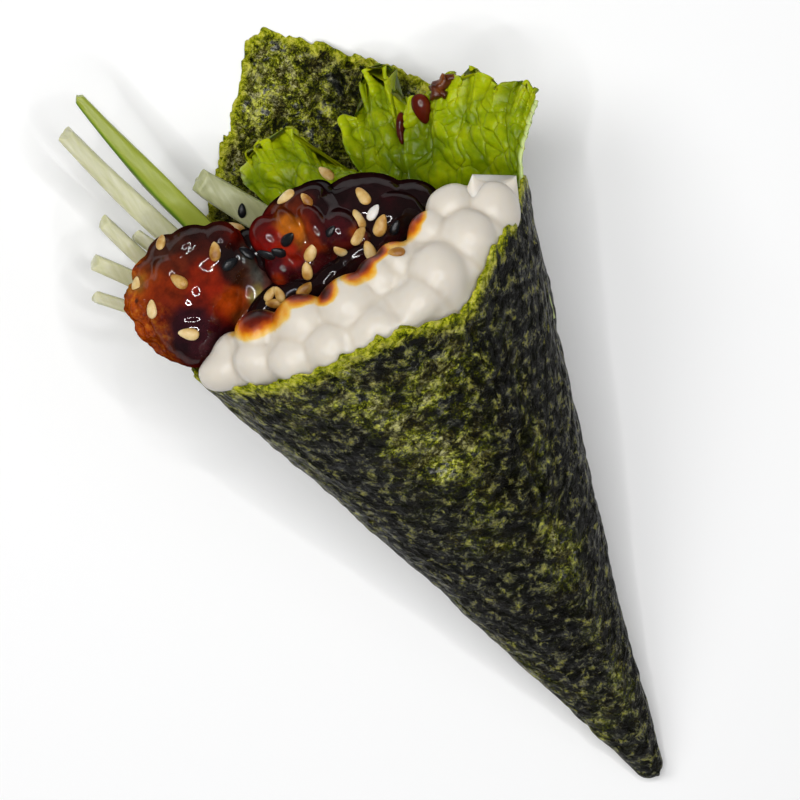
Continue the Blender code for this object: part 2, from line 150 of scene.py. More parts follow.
def crinkle(points, sizes, seed):
    """The sum of lattice noises, each with its own size and height."""
    layers = [lattice_noise(points, size, seed + i) * height for i, (size, height) in enumerate(sizes)]
    return np.sum(layers, axis=0)


def creased(points, sizes, seed):
    """Rounded swellings with sharp valleys between: the sum of |noise| layers."""
    layers = [abs(lattice_noise(points, size, seed + i)) * height for i, (size, height) in enumerate(sizes)]
    return np.sum(layers, axis=0) - 0.3 * sum(height for _, height in sizes)


def round_the_cone(angle):
    """Unit vectors from the axis: sin(angle) across minus cos(angle) upward."""
    turn = np.radians(angle)[..., None]
    return np.sin(turn) * ACROSS - np.cos(turn) * UPWARD


def wall_point(slant, angle, lift):
    """Apex + slant along the wall + lift along the wall's outward normal, in the roll's millimetres."""
    outwards = round_the_cone(angle)
    along = math.cos(HALF_ANGLE) * AXIS + math.sin(HALF_ANGLE) * outwards
    normal = math.cos(HALF_ANGLE) * outwards - math.sin(HALF_ANGLE) * AXIS
    return TABLE_LINE_START + slant[..., None] * along + lift[..., None] * normal


def waist(slant):
    """How far the wall is drawn in: a half sine from the tip to the rim, deepest nearer the tip."""
    start = TIP_RADIUS / math.tan(HALF_ANGLE)
    share = np.clip((slant - start) / (RIM_SLANT - start), 0.0, 1.0)
    return WAIST * np.sin(np.pi * share**WAIST_LEAN)


def hex_colour(text):
    """A colour written as sRGB hex, turned into linear red, green, blue and alpha."""
    values = [int(text[i:i + 2], 16) / 255.0 for i in (1, 3, 5)]
    return [v / 12.92 if v <= 0.04045 else ((v + 0.055) / 1.055) ** 2.4 for v in values] + [1.0]


def add_node(material, kind, inputs=(), stops=(), **settings):
    """One shader node with its settings, its inputs (values or sockets to link) and ramp stops."""
    tree = material.node_tree
    made = tree.nodes.new("ShaderNode" + kind)
    for name, value in settings.items():
        setattr(made, name, value)
    for name, value in dict(inputs).items():
        if isinstance(value, bpy.types.NodeSocket):
            tree.links.new(value, made.inputs[name])
        else:
            made.inputs[name].default_value = value
    for i, (position, colour) in enumerate(stops):
        element = made.color_ramp.elements[i] if i < 2 else made.color_ramp.elements.new(position)
        element.position = position
        element.color = hex_colour(colour)
    return made


def new_material(name):
    """An empty node material and its Principled shader, linked to the output."""
    material = bpy.data.materials.new(name)
    material.use_nodes = True
    return material, material.node_tree.nodes["Principled BSDF"]


def set_inputs(material, shader, **inputs):
    """Sets or links the shader's own sockets, named with underscores for spaces."""
    for name, value in inputs.items():
        socket = shader.inputs[name.replace("_", " ")]
        if isinstance(value, bpy.types.NodeSocket):
            material.node_tree.links.new(value, socket)
        else:
            socket.default_value = value


def closed_mesh(name, rings, attributes=()):
    """Rings of equal length joined into a tube by quads, with a flat face over each end."""
    rows, columns = rings.shape[:2]
    index = np.arange(rows * columns).reshape(rows, columns)
    after = np.roll(index, -1, axis=1)
    quads = np.stack([index[:-1], after[:-1], after[1:], index[1:]], axis=-1).reshape(-1, 4)
    corners = rings.reshape(-1, 3)[quads]
    normals = np.cross(corners[:, 2] - corners[:, 0], corners[:, 3] - corners[:, 1])
    inwards = np.sum((corners.mean(axis=1) - rings.mean(axis=(0, 1))) * normals) < 0.0
    faces = quads.tolist() + [index[0, ::-1].tolist(), index[-1].tolist()]
    faces = [face[::-1] for face in faces] if inwards else faces
    mesh = bpy.data.meshes.new(name)
    mesh.from_pydata(((rings.reshape(-1, 3) + ROLL_TO_ROW) * MM).tolist(), [], faces)
    for label, values in dict(attributes).items():
        layer = mesh.attributes.new(label, "FLOAT", "POINT")
        layer.data.foreach_set("value", np.asarray(values, np.float32).ravel())
    mesh.shade_smooth()
    return mesh


def place_piece(mesh, material, slot, *nodes):
    """Puts a finished mesh in the scene, riding on the roll, in place of these solids."""
    piece = bpy.data.objects.new(mesh.name, mesh)
    bpy.context.scene.collection.objects.link(piece)
    mesh.materials.append(material)
    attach(piece, "root")
    if nodes:
        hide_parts(*nodes)
    return piece


def gloss_face_on(material, level, edge=0.0):
    """The specular level, falling off to this share where the surface turns away from the eye."""
    facing = add_node(material, "LayerWeight", {"Blend": 0.5}).outputs["Facing"]
    fall = add_node(
        material, "MapRange",
        {"Value": facing, "From Min": 0.2, "From Max": 0.55, "To Min": 1.0, "To Max": edge},
    ).outputs[0]
    return add_node(material, "Math", {0: fall, 1: level}, operation="MULTIPLY").outputs[0]


def nori_tone_and_shade(slant, angle):
    """How much lighter or darker the sheet is, partly its own tone and partly painted light and shade: the sum of soft
    patches, amount * exp(-distance^2).
    """
    total = 0.0 * slant + 0.0 * angle
    for patch_slant, patch_angle, along, round_it, amount in NORI_TONES_AND_SHADE:
        off = (angle - patch_angle + 180.0) % 360.0 - 180.0
        total = total + amount * np.exp(-(((slant - patch_slant) / along) ** 2) - (off / round_it) ** 2)
    return total


def outer_rim(angle):
    """The rim's slant: the even cut plus its swells."""
    return RIM_SLANT + sum(height * swell(angle, centre, width) for centre, width, height in RIM_SWELLS)


def outer_turn():
    """Rings up the outside from the tip and down the inside, with each point's distance from the rim.

    Lift off the cone = seam step + ridge - waist + crinkles, and the rim is torn by noise.
    """
    turns = np.append(np.arange(OUTER_COLUMNS) / OUTER_COLUMNS, 1.0 - SEAM_WIDTH / 360.0)
    angle = SEAM_ANGLE + 360.0 * turns
    ridge = RIDGE_HEIGHT * swell(angle, SEAM_ANGLE, RIDGE_WIDTH)
    skin = SEAM_STEP * (1.0 - turns) + ridge
    on_rim = wall_point(np.full_like(angle, RIM_SLANT), angle, np.zeros_like(angle))
    rim = outer_rim(angle) + crinkle(on_rim, RIM_RAGGED, 11)
    start = TIP_RADIUS / math.tan(HALF_ANGLE)
    share = np.linspace(0.0, 1.0, OUTER_ROWS)[:, None]
    slant = start + share * (rim - start)
    fade = np.minimum(1.0, 0.3 + 2.0 * share)
    straight = swell(angle, 0.0, TABLE_WIDTH)
    at_rest = wall_point(slant, angle + 0.0 * slant, 0.0 * slant)
    crumple_slant, crumple_angle, along, round_it, extra = CRUMPLE
    crumpled = extra * swell(angle, crumple_angle, round_it) * np.exp(-(((slant - crumple_slant) / along) ** 2))
    relief = crinkle(at_rest, CRINKLES, 21) + creased(at_rest, CREASES, 31)
    relief = relief * ramp(slant, start, start + 12.0) * (1.0 + crumpled)
    lift = skin * fade - waist(slant) * (1.0 - straight) + relief * (1.0 - 0.8 * straight)
    outside = wall_point(slant, angle + 0.0 * slant, lift)
    edge_lift = lift[-1] - SHEET / 2
    lip = wall_point(rim + 0.12, angle, edge_lift)[None]
    down = np.array((0.0, 0.02, 0.06, 0.15, 0.4))
    sunk = np.array((0.0, 0.1, 0.4, 0.8, 0.8))[:, None]
    inner_slant = rim - down[:, None] * (rim - start)
    inner_lift = lift[np.rint((1.0 - down) * (OUTER_ROWS - 1)).astype(int)] - SHEET - sunk
    inside = wall_point(inner_slant, angle + 0.0 * inner_slant, inner_lift)
    tilt = np.radians(np.linspace(3.0, 74.0, 12))[:, None, None]
    tip_centre = TABLE_LINE_START + TIP_RADIUS / math.sin(HALF_ANGLE) * AXIS
    dome = TIP_RADIUS + skin[:, None] * 0.3
    tip = tip_centre + dome * (np.sin(tilt) * round_the_cone(angle) - np.cos(tilt) * AXIS)
    rings = np.concatenate([tip, outside, lip, inside])
    rings[..., 2] = np.maximum(rings[..., 2], 0.02)
    from_rim = np.concatenate([
        np.full((len(tip), len(angle)), 99.0),
        rim - slant,
        np.zeros((1, len(angle))),
        rim - inner_slant,
    ])
    slants = np.concatenate([np.full((len(tip), 1), start) + 0.0 * angle, slant, rim[None], inner_slant])
    return rings, {"from_rim": from_rim, "tone": nori_tone_and_shade(slants, angle + 0.0 * slants)}


def make_nori():
    """Toasted nori, felted seaweed: brown-black to olive in flecks, with fine wet-looking glints.

    One deep fractal noise gives the flecks, a slow one and the piece's tone, partly painted light and
    shade, shift them, and the bump follows the same flecks; grey patches are painted sheen, the
    palest brown flecks painted glints, the dark net of fine creases painted shade, and the cut edge
    is thin, ragged and yellow-green.
    """
    material, shader = new_material("toasted_nori_felted_satin")
    place = add_node(material, "TexCoord").outputs["Object"]
    # The tone attribute is partly the sheet's own tone and partly painted light and shade.
    tone = add_node(material, "Attribute", attribute_name="tone", attribute_type="GEOMETRY").outputs["Fac"]
    edge = add_node(material, "Attribute", attribute_name="from_rim", attribute_type="GEOMETRY").outputs["Fac"]
    sway = add_node(material, "TexNoise", {"Vector": place, "Scale": 300.0, "Detail": 2.0})
    bent = add_node(
        material, "VectorMath", {0: sway.outputs["Color"], 1: (0.0018, 0.0018, 0.0018)}, operation="MULTIPLY",
    )
    bent = add_node(material, "VectorMath", {0: place, 1: bent.outputs[0]}, operation="ADD").outputs[0]
    fleck = add_node(
        material, "TexNoise",
        {"Vector": bent, "Scale": 540.0, "Detail": 8.0, "Roughness": 0.78, "Distortion": 0.2},
    ).outputs["Fac"]
    strand = add_node(
        material, "TexNoise",
        {"Vector": bent, "Scale": 1900.0, "Detail": 4.0, "Roughness": 0.7, "Distortion": 1.2},
    ).outputs["Fac"]
    patch = add_node(
        material, "TexNoise", {"Vector": place, "Scale": 110.0, "Detail": 4.0, "Roughness": 0.6},
    ).outputs["Fac"]
    patch = add_node(
        material, "MapRange",
        {"Value": patch, "From Min": 0.3, "From Max": 0.7, "To Min": -0.085, "To Max": 0.05},
    ).outputs[0]
    mixed = add_node(material, "Mix", {0: 0.4, 2: fleck, 3: strand}, data_type="FLOAT").outputs[0]
    # The flecks show less where the tone, partly painted shade, is darker.
    contrast = add_node(
        material, "MapRange",
        {"Value": tone, "From Min": -0.12, "From Max": 0.03, "To Min": 0.5, "To Max": 1.1},
    ).outputs[0]
    flecks = add_node(material, "Math", {0: mixed, 1: 0.5}, operation="SUBTRACT").outputs[0]
    flecks = add_node(material, "Math", {0: flecks, 1: contrast, 2: 0.5}, operation="MULTIPLY_ADD").outputs[0]
    shifted = add_node(material, "Math", {0: flecks, 1: patch}, operation="ADD").outputs[0]
    shifted = add_node(material, "Math", {0: shifted, 1: tone}, operation="ADD").outputs[0]
    olive = add_node(
        material, "ValToRGB", {"Fac": shifted},
        stops=(
            (0.42, "#080901"), (0.46, "#1d2004"), (0.5, "#3e4208"), (0.535, "#63680c"),
            (0.57, "#8d9216"), (0.61, "#bfc052"),
        ),
    ).outputs[0]
    # Brown flecks; the palest stop is a painted glint.
    brown = add_node(
        material, "ValToRGB", {"Fac": shifted},
        stops=(
            (0.42, "#080702"), (0.46, "#1c1906"), (0.5, "#36330e"), (0.535, "#534f1c"),
            (0.57, "#74713a"), (0.61, "#a8a67c"),
        ),
    ).outputs[0]
    # Grey patches: painted sheen of glossy spots.
    grey_sheen = add_node(
        material, "ValToRGB", {"Fac": shifted},
        stops=((0.42, "#070706"), (0.47, "#181916"), (0.52, "#343530"), (0.57, "#5b5c59"), (0.61, "#93938f")),
    ).outputs[0]
    kind = add_node(
        material, "TexNoise", {"Vector": bent, "Scale": 330.0, "Detail": 3.0, "Roughness": 0.7},
    ).outputs["Fac"]
    is_brown = add_node(material, "MapRange", {"Value": kind, "From Min": 0.48, "From Max": 0.56}).outputs[0]
    is_grey_sheen = add_node(material, "MapRange", {"Value": kind, "From Min": 0.43, "From Max": 0.37}).outputs[0]
    body = add_node(material, "MixRGB", {"Fac": is_brown, "Color1": olive, "Color2": brown}).outputs[0]
    body = add_node(material, "MixRGB", {"Fac": is_grey_sheen, "Color1": body, "Color2": grey_sheen}).outputs[0]
    # Painted shade: the cell edges darken into a net of fine creases.
    crack_shade = add_node(
        material, "TexVoronoi", {"Vector": bent, "Scale": 260.0}, feature="DISTANCE_TO_EDGE",
    ).outputs["Distance"]
    crack_shade = add_node(
        material, "MapRange",
        {"Value": crack_shade, "From Min": 0.0, "From Max": 0.07, "To Min": 0.35, "To Max": 1.0},
    ).outputs[0]
    grain = add_node(material, "TexNoise", {"Vector": place, "Scale": 3000.0, "Detail": 3.0}).outputs["Fac"]
    grain = add_node(
        material, "MapRange",
        {"Value": grain, "From Min": 0.35, "From Max": 0.65, "To Min": 0.4, "To Max": 1.6},
    ).outputs[0]
    crack_shade = add_node(material, "Math", {0: crack_shade, 1: grain}, operation="MULTIPLY").outputs[0]
    body = add_node(
        material, "MixRGB", {"Fac": 1.0, "Color1": body, "Color2": crack_shade}, blend_type="MULTIPLY",
    ).outputs[0]
    band = add_node(
        material, "MapRange",
        {"Value": edge, "From Min": 0.4, "From Max": 3.0, "To Min": 1.1, "To Max": -0.2},
    ).outputs[0]
    worn = add_node(
        material, "MapRange",
        {"Value": fleck, "From Min": 0.38, "From Max": 0.62, "To Min": -0.55, "To Max": 0.55},
    ).outputs[0]
    thin = add_node(material, "Math", {0: band, 1: worn}, operation="ADD", use_clamp=True).outputs[0]
    pale = add_node(
        material, "ValToRGB", {"Fac": mixed},
        stops=((0.41, "#3a4103"), (0.46, "#788404"), (0.51, "#abae0e"), (0.58, "#d8d24c")),
    ).outputs[0]
    colour = add_node(material, "MixRGB", {"Fac": thin, "Color1": body, "Color2": pale}).outputs[0]
    folds = add_node(
        material, "TexNoise", {"Vector": bent, "Scale": 360.0, "Detail": 2.0, "Roughness": 0.5},
    ).outputs["Fac"]
    bump = add_node(material, "Bump", {"Height": folds, "Strength": 1.0, "Distance": 0.003}).outputs[0]
    bump = add_node(material, "Bump", {"Height": mixed, "Strength": 0.8, "Distance": 0.0008, "Normal": bump}).outputs[0]
    gloss = add_node(
        material, "MapRange",
        {"Value": strand, "From Min": 0.35, "From Max": 0.65, "To Min": 0.42, "To Max": 0.18},
    ).outputs[0]
    shine = add_node(
        material, "MapRange",
        {"Value": fleck, "From Min": 0.5, "From Max": 0.58, "To Min": 0.1, "To Max": 0.9},
    ).outputs[0]
    shine = gloss_face_on(material, shine, 0.15)
    set_inputs(material, shader, Base_Color=colour, Roughness=gloss, Normal=bump, Specular_IOR_Level=shine)
    return material


nori = make_nori()
outer_rings, outer_values = outer_turn()
place_piece(closed_mesh("nori_outer_turn", outer_rings, outer_values), nori, "nori", "nori_wrap")


# ------------------------------------------------------------------- the sheet's inner turn
# The first turn of the same sheet. Its free corner sticks out past the mouth and lies on the
# table, rough side up, with the sheet's two cut edges meeting at a right angle.
FLAP_SLANT = 149.0
FLAP_CORNER = 150.4
FLAP_SIDE = 6.3
FLAP_REACH = 75.0
INNER_RIM = 1.6  # how far the inner turn ends below the outer one
FLAP_COLUMNS, BACK_COLUMNS = 310, 80
FLAP_ROWS = 110
FLAP_CRINKLES = ((14.0, 0.9), (4.0, 0.25), (1.6, 0.12))
SETTLE = 12.0  # past the rim the flap sinks to the table over this length
INNER_START = 84.0
TUCK = 0.9  # how much further in the inner turn lies, below its rim
FLAP_TONE = 0.068
FLAP_DARK_SPOT, FLAP_DARK_TONE = (12.0, 124.0, 6.0, 5.0), -0.08  # x, y and sizes of a darker patch of the flap, by the lettuce's margin


def flap_slant(angle):
    """How far the free corner reaches: the nearer of two lines that meet at a right angle."""
    turn = np.radians(angle) * math.sin(HALF_ANGLE)
    right = (FLAP_CORNER + FLAP_SIDE) / (np.cos(turn) + np.sin(turn))
    left = (FLAP_CORNER - FLAP_SIDE) / (np.cos(turn) - np.sin(turn))
    reach = np.minimum(np.minimum(left, right), FLAP_SLANT / np.cos(turn))
    return np.where(np.abs(angle) > FLAP_REACH, 0.0, reach)


def inner_turn():
    """Rings down the sheet's under side and up its upper side, closer together across the flap.

    The under side starts one sheet in from the cone and settles on to the table past the rim.
    """
    flap = np.linspace(-FLAP_REACH - 5.0, FLAP_REACH + 5.0, FLAP_COLUMNS, endpoint=False)
    back = np.linspace(FLAP_REACH + 5.0, 355.0 - FLAP_REACH, BACK_COLUMNS, endpoint=False)
    angle = np.concatenate([flap, back])
    turned = (angle + 180.0) % 360.0 - 180.0
    on_rim = wall_point(np.maximum(flap_slant(turned), RIM_SLANT), angle, np.zeros_like(angle))
    torn = crinkle(on_rim, RIM_RAGGED, 31)
    rim = np.maximum(outer_rim(angle) - INNER_RIM, flap_slant(turned)) + torn
    share = np.concatenate([np.linspace(0.0, 0.55, 12, endpoint=False), np.linspace(0.55, 1.0, FLAP_ROWS)])
    slant = INNER_START + share[:, None] * (rim - INNER_START)
    wide = angle + 0.0 * slant
    settled = ramp(slant, RIM_SLANT, RIM_SLANT + SETTLE)
    at_rest = wall_point(slant, wide, 0.0 * slant)
    relief = crinkle(at_rest, FLAP_CRINKLES, 41) * ramp(slant, RIM_SLANT - 8.0, RIM_SLANT + 10.0)
    tucked = TUCK * (1.0 - ramp(slant, RIM_SLANT - 20.0, RIM_SLANT - 5.0))
    under = -(SHEET + 0.1) * (1.0 - settled) - tucked - waist(slant) + relief
    lower = wall_point(slant, wide, under)
    upper = wall_point(slant, wide, under - SHEET * 0.8)
    lip = wall_point(rim + 0.1, angle, under[-1] - SHEET * 0.4)[None]
    sunk = np.maximum(0.05 - lower[..., 2], 0.0)
    lower[..., 2] += sunk
    upper[..., 2] += sunk
    lip[..., 2] += np.maximum(0.2 - lip[..., 2], 0.0)
    rings = np.concatenate([lower, lip, upper[::-1]])
    from_rim = np.concatenate([rim - slant, np.zeros((1, len(angle))), (rim - slant)[::-1]])
    # A darker patch of the flap, by the lettuce's margin.
    wet = np.exp(-((rings[..., 0] - FLAP_DARK_SPOT[0]) / FLAP_DARK_SPOT[2]) ** 2 - ((rings[..., 1] - FLAP_DARK_SPOT[1]) / FLAP_DARK_SPOT[3]) ** 2)
    return rings, {"from_rim": from_rim, "tone": FLAP_TONE + FLAP_DARK_TONE * wet}


inner_rings, inner_values = inner_turn()
place_piece(closed_mesh("nori_inner_turn", inner_rings, inner_values), nori, "nori", "nori_wrap")


# ------------------------------------------------------------------------------- lettuce
# Three loose ends of green leaf lettuce, torn to size and tucked in along the inside of the wall.
# The blade puckers into blisters between its veins, and its margin is frilled and curls over.
LEAF_COLUMNS, LEAF_ROWS, FOOT_ROWS = 280, 130, 14
LEAF_THICKNESS = 0.4
FOOT_SHARE = 0.2  # how far the leaf goes down inside the cone, towards its tip
LEAVES = {
    "lettuce_right": {
        "base": ((14.6, 103.6, 23.0), (18.0, 104.6, 23.0), (22.5, 103.6, 26.0), (27.0, 101.0, 31.0), (30.4, 98.4, 36.0)),
        "margin": (
            (22.3, 117.9, 20.5), (23.4, 118.8, 22.0), (25.4, 118.6, 23.5), (28.1, 118.8, 25.5), (29.8, 119.4, 26.8),
            (31.0, 118.3, 27.6), (32.8, 117.8, 28.8), (34.3, 116.6, 29.6), (35.0, 114.6, 30.2), (36.9, 113.0, 31.5),
            (38.5, 112.4, 32.4), (40.0, 112.0, 33.4), (39.4, 110.4, 33.0), (39.6, 108.6, 33.2),
        ),
        "fold_height": 1.3, "ruffle": 0.6, "wave": 3.9, "rib": 1.0, "shade": 0.3, "seed": 3,
    },
    "lettuce_middle": {
        "base": ((10.2, 110.5, 16.0), (12.5, 108.6, 17.5), (15.5, 107.0, 19.0), (18.0, 106.0, 20.5)),
        "margin": (
            (10.9, 120.6, 12.0), (12.0, 121.7, 12.5), (13.4, 120.7, 13.0), (15.2, 121.3, 13.0), (17.2, 121.3, 13.5),
            (17.8, 123.1, 13.5), (16.8, 124.7, 13.5), (17.8, 125.7, 14.0), (19.9, 126.4, 14.0), (22.3, 125.2, 14.5),
            (21.4, 123.2, 15.0), (20.8, 121.6, 15.5), (21.8, 119.8, 16.0), (22.2, 118.0, 17.0), (21.4, 115.6, 18.0),
        ),
        "fold_height": 1.2, "ruffle": 0.9, "wave": 3.3, "rib": 0.0, "shade": 0.7, "seed": 17,
    },
    "lettuce_left": {
        "base": ((-6.0, 115.6, 14.0), (-1.5, 114.0, 17.0), (3.5, 112.6, 18.0), (8.0, 110.8, 19.0)),
        "margin": (
            (-7.8, 121.0, 10.5), (-7.3, 122.7, 10.5), (-6.0, 123.6, 10.5), (-4.6, 124.7, 11.0), (-2.3, 124.3, 11.0),
            (-0.5, 124.8, 11.0), (1.4, 124.2, 11.5), (2.8, 124.0, 11.5), (3.7, 124.4, 11.5), (4.3, 123.6, 12.0),
            (4.0, 122.0, 12.0), (4.0, 120.2, 12.5), (4.8, 118.2, 13.0), (6.4, 116.6, 14.0), (8.4, 114.4, 15.0),
            (10.2, 112.6, 16.0),
        ),
        "fold_height": 1.0, "ruffle": 0.7, "wave": 3.1, "rib": 0.0, "shade": 0.0, "seed": 29,
    },
}
LEAF_FOLDS = ((5.5, 1.0), (2.8, 0.4))  # sizes of the folds, and shares of the fold height
BLISTER_WIDTH, BLISTER_LENGTH, BLISTER_HEIGHT = 2.7, 4.4, 0.42
PANEL_WIDTH, PANEL_LENGTH = 6.0, 15.0  # the spacing of the main veins
MARGIN_TEETH = ((1.9, 0.7), (0.9, 0.45))
SCALLOP = 1.5


def smooth_curve(points, share):
    """Catmull-Rom: each stretch is a cubic through its two points, with its neighbours' slopes."""
    points = np.asarray(points, float)
    padded = np.concatenate([2 * points[:1] - points[1:2], points, 2 * points[-1:] - points[-2:-1]])
    at = np.clip(np.asarray(share) * (len(points) - 1), 0.0, len(points) - 1 - 1e-9)
    first = np.floor(at).astype(int)
    t = (at - first)[..., None]
    p0, p1, p2, p3 = (padded[first + i] for i in range(4))
    return 0.5 * (2 * p1 + (p2 - p0) * t + (2 * p0 - 5 * p1 + 4 * p2 - p3) * t**2
                  + (3 * p1 - p0 - 3 * p2 + p3) * t**3)


def cell_border(across, along, seed):
    """How far a point is inside its cell: second nearest random point less the nearest one."""
    base_x, base_y = np.floor(across).astype(np.int64), np.floor(along).astype(np.int64)
    nearest, second = np.full(across.shape, 9.0), np.full(across.shape, 9.0)
    for step_x, step_y in itertools.product((-1, 0, 1), repeat=2):
        x, y = base_x + step_x, base_y + step_y
        mixed = (x * 73856093 ^ y * 19349663 ^ seed * 83492791) * 1274126177
        jitter_x = ((mixed >> 7) & 0xFFF) / 4095.0
        jitter_y = ((mixed >> 19) & 0xFFF) / 4095.0
        distance = np.hypot(x + jitter_x - across, y + jitter_y - along)
        second = np.minimum(second, np.maximum(nearest, distance))
        nearest = np.minimum(nearest, distance)
    return second - nearest


def unit(vector):
    """The vector at length 1."""
    return vector / np.linalg.norm(vector, axis=-1, keepdims=True)


def surface_normals(points):
    """Unit normals of a grid: the cross product of its slopes along rows and along columns."""
    normals = np.cross(np.gradient(points, axis=1), np.gradient(points, axis=0))
    return normals / np.maximum(np.linalg.norm(normals, axis=-1, keepdims=True), 1e-9)


def leaf_sheet(base, margin, fold_height, ruffle, wave, rib, shade, seed):
    """The leaf's middle surface, with painted shade along its veins, in its hollows and towards its foot, and how far
    each point is by the margin.

    Point = base + v * (margin - base) + v^5 * scallops outwards + height * normal + shift along the
    margin. Height = folds + blisters, which are 1 - exp(-gap to the cell's border), + a ruffle,
    v^4 * sin(phase). The shift, v^4 * sin(2 phase), makes the ruffle's waves lean over.
    """
    u = np.linspace(0.0, 1.0, LEAF_COLUMNS)
    v = np.linspace(0.0, 1.0, LEAF_ROWS)[:, None] ** 0.8
    low, high = smooth_curve(base, u), smooth_curve(margin, u)
    outwards = unit(high.mean(axis=0) - low.mean(axis=0))
    across = low[-1] - low[0]
    across = unit(across - outwards * (across @ outwards))
    normal = np.cross(across, outwards)
    normal = normal if normal[2] > 0.0 else -normal
    run = np.append(0.0, np.cumsum(np.linalg.norm(np.diff(high, axis=0), axis=1)))
    along_margin = np.stack([run, 0.0 * run, 0.0 * run], axis=-1)
    tangent = unit(np.gradient(high, axis=0))
    beyond = unit(np.cross(tangent, normal))
    beyond = beyond * np.sign((beyond * (high - low)).sum())
    phase = 2 * np.pi * run / wave + 1.3 * lattice_noise(along_margin, 1.6 * wave, seed + 50)
    lobe = np.abs(np.sin(phase / 2 - np.pi / 4)) ** 0.7 - 0.6
    scallop = SCALLOP * lobe * (1.0 + 0.5 * lattice_noise(along_margin, 5.0, seed))
    scallop = scallop + crinkle(along_margin, MARGIN_TEETH, seed + 4)
    sheet = low + v[..., None] * (high - low) + (v**5 * scallop)[..., None] * beyond
    p, q = (sheet - low[0]) @ across, (sheet - low[0]) @ outwards
    flat = np.stack([p, q, 0.0 * q], axis=-1)
    warp = 1.1 * lattice_noise(flat, 3.0, seed + 30)
    shrink = 1.0 + 0.6 * v**2
    gap = cell_border((p + warp) / BLISTER_WIDTH * shrink, (q - warp) / BLISTER_LENGTH * shrink, seed)
    panel = cell_border((p + 1.5 * warp) / PANEL_WIDTH, (q - 2.0 * warp) / PANEL_LENGTH, seed + 2)
    height = fold_height * crinkle(flat * (1.0, 0.5, 1.0), LEAF_FOLDS, seed + 40) * (0.4 + 0.6 * v)
    blister = (1.0 - np.exp(-2.4 * gap)) * (1.0 + 0.8 * lattice_noise(flat, 4.0, seed + 45)) / shrink
    height = height + BLISTER_HEIGHT * (blister + 1.3 * (1.0 - np.exp(-5.0 * panel)))
    height = height + crinkle(flat, ((1.6, 0.16), (0.8, 0.08)), seed + 47)
    size = ruffle * (1.0 + 0.5 * lattice_noise(along_margin, 6.0, seed + 52))
    size = size * ramp(u, 1.0, 0.93) * ramp(u, 0.0, 0.05)
    turned = phase + 0.9 * lattice_noise(flat, 2.4, seed + 54)
    waves = size * v**4 * (np.sin(turned) + 0.4 * np.sin(2.3 * turned + 1.0)) + 0.25 * size * v * np.sin(0.5 * turned)
    shift = 0.2 * wave * v**6 * np.sin(2 * phase) * size
    # Painted shade: darker in the hollows of the folds and ruffles, and, by the leaf's shade value, towards its foot.
    hollow = np.clip(0.3 - (height - height.mean() + 1.3 * waves) / 1.6, 0.0, 1.0) + shade * ramp(v, 0.85, 0.3)
    height = height + waves + 1.2 * np.sin(np.pi * v)
    height = height + 1.5 * np.exp(-((u / 0.05) ** 2)) * np.sin(np.pi * v)
    sheet = sheet + height[..., None] * normal + shift[..., None] * tangent
    foot_share = FOOT_SHARE * np.linspace(1.0, 0.0, FOOT_ROWS, endpoint=False)[:, None, None]
    foot = sheet[:1] + foot_share * (TABLE_LINE_START - sheet[:1])
    hidden = np.zeros((FOOT_ROWS, LEAF_COLUMNS))
    fade = np.clip(0.45 + 0.9 * lattice_noise(flat, 4.0, seed + 48), 0.0, 1.0)
    # Painted shade: dark lines in the creases along the veins, between the blisters.
    vein = np.maximum(np.exp(-16.0 * gap) * (1.0 - 0.8 * v) * fade, 0.9 * np.exp(-30.0 * panel) * (1.0 - 0.7 * v))
    vein = np.concatenate([hidden, vein])
    nearness = np.concatenate([hidden, v + 0.0 * u])
    # The foot inside the cone is all in painted shade.
    hollow = np.concatenate([hidden + 1.0, np.clip(hollow, 0.0, 1.0)])
    side = rib * ramp(u, 0.965, 0.99) * np.ones((FOOT_ROWS + LEAF_ROWS, 1))
    return np.concatenate([foot, sheet]), {"vein": vein, "near_margin": nearness, "hollow": hollow, "rib": side}


def thick_rings(sheet, thickness, values):
    """Rings round a thick sheet: each row out along its upper face and back along its lower one."""
    half = surface_normals(sheet) * thickness / 2
    rings = np.concatenate([sheet + half, (sheet - half)[:, ::-1]], axis=1)
    return rings, {name: np.concatenate([value, value[:, ::-1]], axis=1) for name, value in values.items()}


